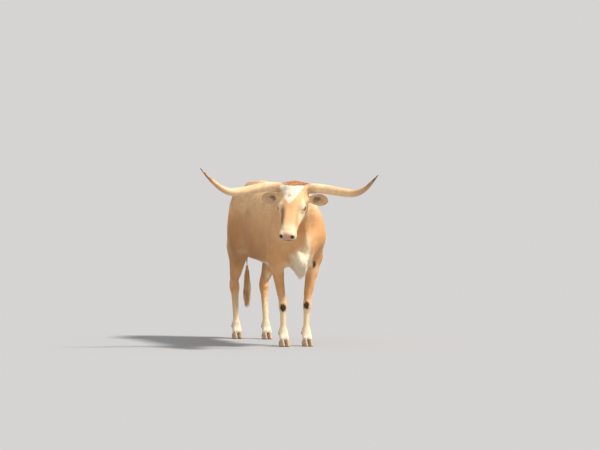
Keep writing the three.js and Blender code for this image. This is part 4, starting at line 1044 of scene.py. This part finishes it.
def hair_finish(name, gloss, spread):
    """Hair takes the pattern's colour at its root, each tuft a little lighter or darker than the next
    and lighter towards its tip."""
    finish, tree, shader = new_finish(name, {"Specular IOR Level": gloss})
    look = add_node(tree, "ShaderNodeGroup", node_tree=marks)
    tree.links.new(attribute(tree, "root", "Vector"), look.inputs["Place"])
    tree.links.new(attribute(tree, "inner"), look.inputs["Inner Ear"])
    tone = attribute(tree, "tone")
    bright = math_node(tree, "ADD", math_node(tree, "MULTIPLY", tone, spread), 0.99 - spread / 2)
    bright = math_node(tree, "ADD", bright, math_node(tree, "MULTIPLY", attribute(tree, "tip"), 0.06))
    shade = add_node(tree, "ShaderNodeVectorMath", operation="SCALE")
    tree.links.new(look.outputs["Color"], shade.inputs[0])
    tree.links.new(bright, shade.inputs["Scale"])
    tree.links.new(shade.outputs["Vector"], shader.inputs["Base Color"])
    tree.links.new(ramp(tree, tone, -2.2, 1.6, smooth=False), shader.inputs["Roughness"])
    return finish


coat_finish = hair_finish("coat", 0.25, 0.22)
long_finish = hair_finish("long_hair", 0.3, 0.5)


ROOT_DEPTH = 0.0008
HALF_PATCH = 0.0015


def grow(
    name, roots, rise, way, unwrap, chance, sizes, finish, slot,
    rings=2, droop=0.0, ear=None, wander=0.2, wave=0.0, proud=0.06,
):
    """Joins one tapered tuft at each root into a piece. The sizes are a tuft's length, width, thickness
    and lift off the skin. Its tip returns to the skin but for the proud share of the lift. Its patch of
    the OFBake map lies at its root's place on the unwrapped hide."""
    count = len(roots)
    way = unit(way - rise * (way * rise).sum(1)[:, None])
    across = np.cross(rise, way)
    turn = chance.normal(0, wander, count)[:, None]
    way = way * np.cos(turn) + across * np.sin(turn)
    across = np.cross(rise, way)
    length, width, thick, lift = sizes
    length = (length * chance.uniform(0.75, 1.25, count))[:, None]
    width = (width * chance.uniform(0.75, 1.2, count))[:, None]
    thick = np.broadcast_to(thick, count)[:, None]
    lift = (lift * chance.uniform(0.4, 1.5, count))[:, None]
    phase = chance.uniform(0, 2 * math.pi, count)[:, None]
    verts, patches, along, facing = [], [], [], []
    unwrapped = unwrap(roots)
    for k in range(rings + 1):
        t = k / rings
        swell = 0.7 + 0.3 * math.sin(math.pi * min(1, t * 1.4)) if t else 0.75
        taper = swell * (1 - t) ** 0.6
        hump = math.sin(math.pi * t**0.8) + proud * t
        centre = roots + way * length * t + rise * (lift * hump - ROOT_DEPTH * (k == 0))
        centre = centre + np.array((0, 0, -1.0)) * droop * t * t * length
        centre = centre + across * wave * length * (np.sin(phase + 5.5 * t) - np.sin(phase))
        spread = width / 2 * taper
        ring = [centre - across * spread, centre + across * spread, centre + rise * thick * max(taper, 0.1)]
        sides = (-1, 1, 0)
        if k == rings:
            ring, sides = [centre], (0,)
        for point, aside in zip(ring, sides):
            verts.append(np.clip(point, cad_low, cad_high))
            patches.append(unwrapped + HALF_PATCH * np.array((aside, 2 * t - 1)))
            along.append(np.full(count, t))
            facing.append(unit(rise + across * 0.55 * aside + way * 0.15 * t))
    per = len(verts)
    pattern = [(0, 2, 1)]
    for k in range(rings - 1):
        a = 3 * k
        pattern += [(a, a + 1, a + 4, a + 3), (a + 1, a + 2, a + 5, a + 4), (a + 2, a, a + 3, a + 5)]
    a = 3 * (rings - 1)
    pattern += [(a, a + 1, a + 3), (a + 1, a + 2, a + 3), (a + 2, a, a + 3)]
    per_face = [len(f) for f in pattern]
    order = np.array([k for f in pattern for k in f])
    corners = (np.arange(count)[:, None] * per + order).ravel()
    totals = np.tile(per_face, count)
    mesh = bpy.data.meshes.new(name)
    mesh.vertices.add(count * per)
    mesh.vertices.foreach_set("co", np.stack(verts, axis=1).ravel())
    mesh.loops.add(len(corners))
    mesh.loops.foreach_set("vertex_index", corners)
    mesh.polygons.add(len(totals))
    mesh.polygons.foreach_set("loop_start", np.concatenate([[0], np.cumsum(totals)[:-1]]))
    mesh.update(calc_edges=True)
    flat = np.stack(patches, axis=1).reshape(-1, 2)
    mesh.uv_layers.new(name="OFBake").data.foreach_set("uv", flat[corners].ravel())
    for label, kind, values in (
        ("root", "FLOAT_VECTOR", np.repeat(roots, per, axis=0)),
        ("tone", "FLOAT", np.repeat(chance.random(count), per)),
        ("tip", "FLOAT", np.stack(along, axis=1)),
        ("inner", "FLOAT", np.repeat(np.zeros(count) if ear is None else ear, per)),
    ):
        layer = mesh.attributes.new(label, kind, "POINT")
        field = "vector" if kind == "FLOAT_VECTOR" else "value"
        layer.data.foreach_set(field, values.astype(np.float32).ravel())
    mesh.shade_smooth()
    # Soft shading on top, as of hair lying on a surface. The root's end and the faces without the
    # ridge, which is every third point, are the underside.
    soft = np.stack(facing, axis=1).reshape(-1, 3)[corners]
    underside = [i == 0 or all(k % 3 != 2 for k in f) for i, f in enumerate(pattern)]
    under = np.tile(np.repeat(underside, per_face), count)
    mesh.normals_split_custom_set(np.where(under[:, None], np.repeat(-rise, len(order), axis=0), soft))
    mesh.materials.append(finish)
    piece = bpy.data.objects.new(name, mesh)
    bpy.context.scene.collection.objects.link(piece)
    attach(piece, "root")
    return piece


def cover(name, where, count, seed, unwrap, sizes, finish, slot, **tuft):
    """Grows tufts over a part of the hide, along the way that its hair lies."""
    roots, rise, _, chance = rooted(where, count, seed)
    grow(name, roots, rise, lie_of(roots), unwrap, chance, sizes, finish, slot, **tuft)


def round_axis(matrix, low, high):
    """An unwrap round an axis: the angle about the frame's Y one way, the place along it the other."""

    def unwrap(spots):
        local = in_frame(spots, matrix)
        turn = np.arctan2(local[:, 0], local[:, 2]) / (2 * math.pi) + 0.5
        along = np.clip((local[:, 1] - low) / (high - low), 0, 1)
        return 0.02 + 0.96 * np.column_stack([turn, along])

    return unwrap


trunk_round = round_axis(Matrix.Translation(stand(0, 0, 1.08)), -1.0, 1.0)
face_round = round_axis(HEAD @ Matrix.Translation((0, 0, -0.10)), -0.57, 0.15)


def legs_round(spots):
    """An unwrap round each leg, side by side."""
    unwrapped = np.zeros((len(spots), 2))
    for k, (stance, ahead) in enumerate(FOOTFALLS.values()):
        foot = np.array(stand(stance, ahead, 0))
        same_side = np.sign(spots[:, 0] - MIDDLE.x) == np.sign(stance)
        near = same_side & ((spots[:, 1] < MIDDLE.y) == (ahead > 0))
        away = spots[near] - foot
        turn = np.arctan2(away[:, 0], away[:, 1]) / (2 * math.pi) + 0.5
        upward = 0.02 + 0.96 * np.clip(spots[near, 2], 0, 1)
        unwrapped[near] = np.column_stack([(k + 0.02 + 0.96 * turn) / 4, upward])
    return unwrapped


middle_side = hide_middle[:, 0] - MIDDLE.x
middle_ahead = MIDDLE.y - hide_middle[:, 1]
middle_up = hide_middle[:, 2]
on_face = face_share(hide_middle)
on_ears = ear_share(hide_middle)
on_legs = step(middle_up, 0.80, 0.70) * (middle_ahead < 0.66) * (middle_ahead > -0.93)
on_tail = (middle_ahead < -0.925).astype(float)
local = in_frame(hide_middle, HEAD)


def within(centre, radii):
    return step(np.sqrt((((local - centre) / radii) ** 2).sum(1)), 1.1, 0.9)


# No hair grows on the nose pad, the lips, the eyes, the nostrils and in the creases.
bare_spots = [((0, -0.524, -0.088), (0.062, 0.040, 0.048)), ((0, -0.512, -0.142), (0.075, 0.05, 0.010))]
for s in (-1, 1):
    bare_spots.append(((s * 0.101, -0.212, -0.066), (0.029, 0.029, 0.025)))
    bare_spots.append(((s * 0.049, -0.527, -0.090), (0.013, 0.03, 0.02)))
is_bare = (crease[hide_corners].mean(1) > 0.3).astype(float)
for centre, radii in bare_spots:
    is_bare = np.maximum(is_bare, within(centre, radii))
on_crown = in_frame(hide_middle, CROWN)
from_horn = np.hypot(on_crown[:, 1] - 0.0357, on_crown[:, 2] + 0.0352)
on_horn_seat = (np.abs(local[:, 0]) > 0.122) & (on_ears < 0.5) & (from_horn < 0.036)
body_only = (1 - on_face) * (1 - on_legs) * (1 - on_tail)

thinning = 1.0
on_sides = body_only * (middle_ahead < 0.52)
SIDE_TUFT = (0.033, 0.0056, 0.0007, 0.0013)
NECK_TUFT = (0.029, 0.0050, 0.0006, 0.0012)
FORELEG_TUFT = (0.020, 0.0034, 0.0005, 0.0009)
HINDLEG_TUFT = (0.021, 0.0036, 0.0005, 0.0009)
FACE_TUFT = (0.013, 0.0027, 0.0004, 0.0006)
on_bare_face = on_face * (1 - on_ears) * (1 - is_bare) * ~on_horn_seat
COAT_PIECES = [
    # name, where, how many, sizes of a tuft, unwrap, slot
    ("coat_side_left", on_sides * (middle_side > 0), 19000, SIDE_TUFT, trunk_round, "coat_tan"),
    ("coat_side_right", on_sides * (middle_side <= 0), 19000, SIDE_TUFT, trunk_round, "coat_tan"),
    ("coat_neck", body_only * (middle_ahead >= 0.52), 18000, NECK_TUFT, trunk_round, "coat_tan"),
    ("coat_forelegs", on_legs * (middle_ahead > 0), 15000, FORELEG_TUFT, legs_round, "coat_pale"),
    ("coat_hindlegs", on_legs * (middle_ahead <= 0), 18000, HINDLEG_TUFT, legs_round, "coat_pale"),
    ("coat_face", on_bare_face, 19000, FACE_TUFT, face_round, "coat_face"),
]
for k, (name, where, count, sizes, unwrap, slot) in enumerate(COAT_PIECES):
    cover(name, where, int(count * thinning), 11 + k, unwrap, sizes, coat_finish, slot)

# Ears: fine short hair outside, and longer pale hair inside and along the rim, which stands up from
# the skin
EAR_TUFT = (0.012, 0.0023, 0.0004, 0.0005)
EAR_FRINGE_TUFT = (0.020, 0.0017, 0.0006, 0.004)
FRINGE_PALENESS = 0.28
roots, rise, cupped, chance = rooted(on_ears, int(6000 * thinning), 31)
grow(
    "coat_ears", roots, rise, lie_of(roots), face_round, chance, EAR_TUFT, coat_finish, "coat_tan", ear=cupped
)
inner_faces = inner[hide_corners].mean(1)
near_rim = (inner_faces > 0.05) * (inner_faces < 0.7) + 0.3 * (inner_faces > 0.7)
cover(
    "ear_fringe", on_ears * near_rim, 520, 32, face_round, EAR_FRINGE_TUFT, long_finish, "coat_face",
    rings=3, droop=0.2, proud=0.9, ear=np.full(520, FRINGE_PALENESS),
)

# Poll: loose red-brown locks that part at the crown and lie over the brow, to the horns and back.
# They are the longest hair on the head and wave a little.
POLL_TUFT = (0.030, 0.0038, 0.0016, 0.0048)
crown_top = round_spot(local, (0, 0.034, -0.014), (0.100, 0.034, 0.06)) * (np.abs(local[:, 0]) < 0.118)
roots, rise, _, chance = rooted(np.where(crown_top > 0.35, 1.0, 0), int(2400 * thinning), 41)
poll_spots = in_frame(roots, HEAD)
tumble = chance.normal(0, 1, (len(roots), 2))
forward = np.where(poll_spots[:, 1] < 0.026 + 0.012 * tumble[:, 0], 1.0, -0.8)
parted = poll_spots[:, 0] * 7 + tumble[:, 1] * 0.25
locks_way = np.column_stack([parted, -forward, -0.1 * np.ones(len(roots))]) @ np.array(HEAD.to_3x3()).T
grow(
    "poll_tuft", roots, rise, locks_way, face_round, chance, POLL_TUFT, long_finish, "coat_face",
    rings=5, droop=0.12, wave=0.07,
)

# Hair creeps out from the head along the foot of each horn. It lies flat on the horn, thinner and
# shorter the farther out it grows.
HORN_HAIR_REACH = 0.075
FOOT_RADIUS = 0.0405
chance = np.random.default_rng(45)
crown_axes = np.array(CROWN.to_3x3())
for word, s in (("left", 1), ("right", -1)):
    count = int(900 * thinning)
    out = -0.010 + HORN_HAIR_REACH * chance.random(count) ** 2.8
    turn = chance.uniform(0, 2 * math.pi, count)
    rise = np.column_stack([0 * turn, np.cos(turn), np.sin(turn)]) @ crown_axes.T
    line = np.array(horn_seat(s)) + np.column_stack([s * out, 0 * out, 0.03 * out])
    roots = (line @ crown_axes.T) + np.array(CROWN.translation) + rise * FOOT_RADIUS
    way = np.tile(crown_axes @ np.array((s, 0, 0)), (count, 1))
    sizes = (0.024 - 0.18 * out, 0.0026, 0.0008, 0.0016)
    grow(f"horn_hair_{word}", roots, rise, way, face_round, chance, sizes, coat_finish, "coat_face", rings=3)

# Fringes: brisket, belly, the backs of the fetlocks and the upper edge of the hooves carry longer
# hair that hangs. The tail has short hair down to its switch.
hanging = step(-normals[hide_corners].mean(1)[:, 2], 0.1, 0.6)
on_brisket = hanging * (middle_ahead > 0.60) * (middle_up < 0.80) * (np.abs(middle_side) < 0.12)
behind_middle = (middle_ahead < 0.0) * (middle_ahead > -0.27)
on_navel = hanging * (np.abs(middle_side) < 0.05) * behind_middle * (middle_up < 0.78)
facing_back = step(normals[hide_corners].mean(1)[:, 1], 0.2, 0.7)
on_fetlocks = on_legs * facing_back * np.exp(-(((middle_up - 0.135) / 0.045) ** 2))
on_pasterns = on_legs * step(middle_up, 0.10, 0.075)
FRINGES = [
    # name, where, how many, seed, unwrap, sizes of a tuft, slot, rings, droop
    ("brisket_fringe", on_brisket, 700, 51, trunk_round, (0.030, 0.0042, 0.0016, 0.006), "coat_tan", 3, 0.5),
    ("navel_hair", on_navel, 260, 52, trunk_round, (0.034, 0.0036, 0.0016, 0.006), "coat_tan", 3, 0.5),
    ("fetlock_hair", on_fetlocks, 900, 53, legs_round, (0.028, 0.0032, 0.0012, 0.006), "coat_pale", 3, 0.2),
    ("coronet_hair", on_pasterns, 1500, 54, legs_round, (0.016, 0.0030, 0.0010, 0.002), "coat_pale", 2, 0.0),
    ("coat_tail", on_tail, 2600, 55, trunk_round, (0.024, 0.0040, 0.0009, 0.0018), "coat_tan", 2, 0.0),
]
for name, where, count, seed, unwrap, sizes, slot, rings, droop in FRINGES:
    cover(name, where, count, seed, unwrap, sizes, coat_finish, slot, rings=rings, droop=droop)

# Lashes: one row of stiff short hairs along each upper lid, which point out and a little down
LASH = (0.008, 0.0006, 0.0003, 0.0002)
chance = np.random.default_rng(61)
roots, outward, lash_ways = (np.array([tuple(item[k]) for item in lash_roots]) for k in range(3))
rise = unit(np.cross(outward, np.array(HEAD.col[1][:3])))
grow("eyelashes", roots, rise, lash_ways, face_round, chance, LASH, long_finish, "coat_face", rings=3)


# The switch: long wavy hair hung in overlapping locks from the last joints of the tail, round a thin
# core of skin.
SWITCH_HAIRS = 420
SWITCH_FOOT = 0.255
SWITCH_TOP = 0.66
chance = np.random.default_rng(71)
drop = chance.random(SWITCH_HAIRS)
turn = chance.uniform(0, 2 * math.pi, SWITCH_HAIRS)
thin = 0.013 + 0.006 * np.sin(math.pi * drop)
outward = np.column_stack([np.cos(turn), np.sin(turn), 0 * turn])
hung_at = np.column_stack([0 * drop, 0 * drop, SWITCH_TOP - 0.27 * drop])
roots = np.array(stand(*TAIL, 0)) + outward * (thin * 0.8)[:, None] + hung_at
way = np.column_stack([chance.normal(0, 0.05, (SWITCH_HAIRS, 2)), -np.ones(SWITCH_HAIRS)])
hanging_length = np.minimum(0.24, (roots[:, 2] - SWITCH_FOOT) * 0.9) / 1.25
switch = grow(
    "tail_switch_hair", roots, outward, way, trunk_round, chance, (hanging_length, 0.0085, 0.0034, 0.008),
    long_finish, "coat_pale", rings=7, wander=0.04, wave=0.035,
)
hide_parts("tail_switch")
CORE = ((0.68, 0.012), (0.60, 0.014), (0.50, 0.017), (0.42, 0.012), (0.36, 0.003))
core = swept([(*stand(*TAIL, height), radius) for height, radius in CORE], 14, 24)
core = add_piece("tail_tip", core, hide_finish)
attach(core, "root")
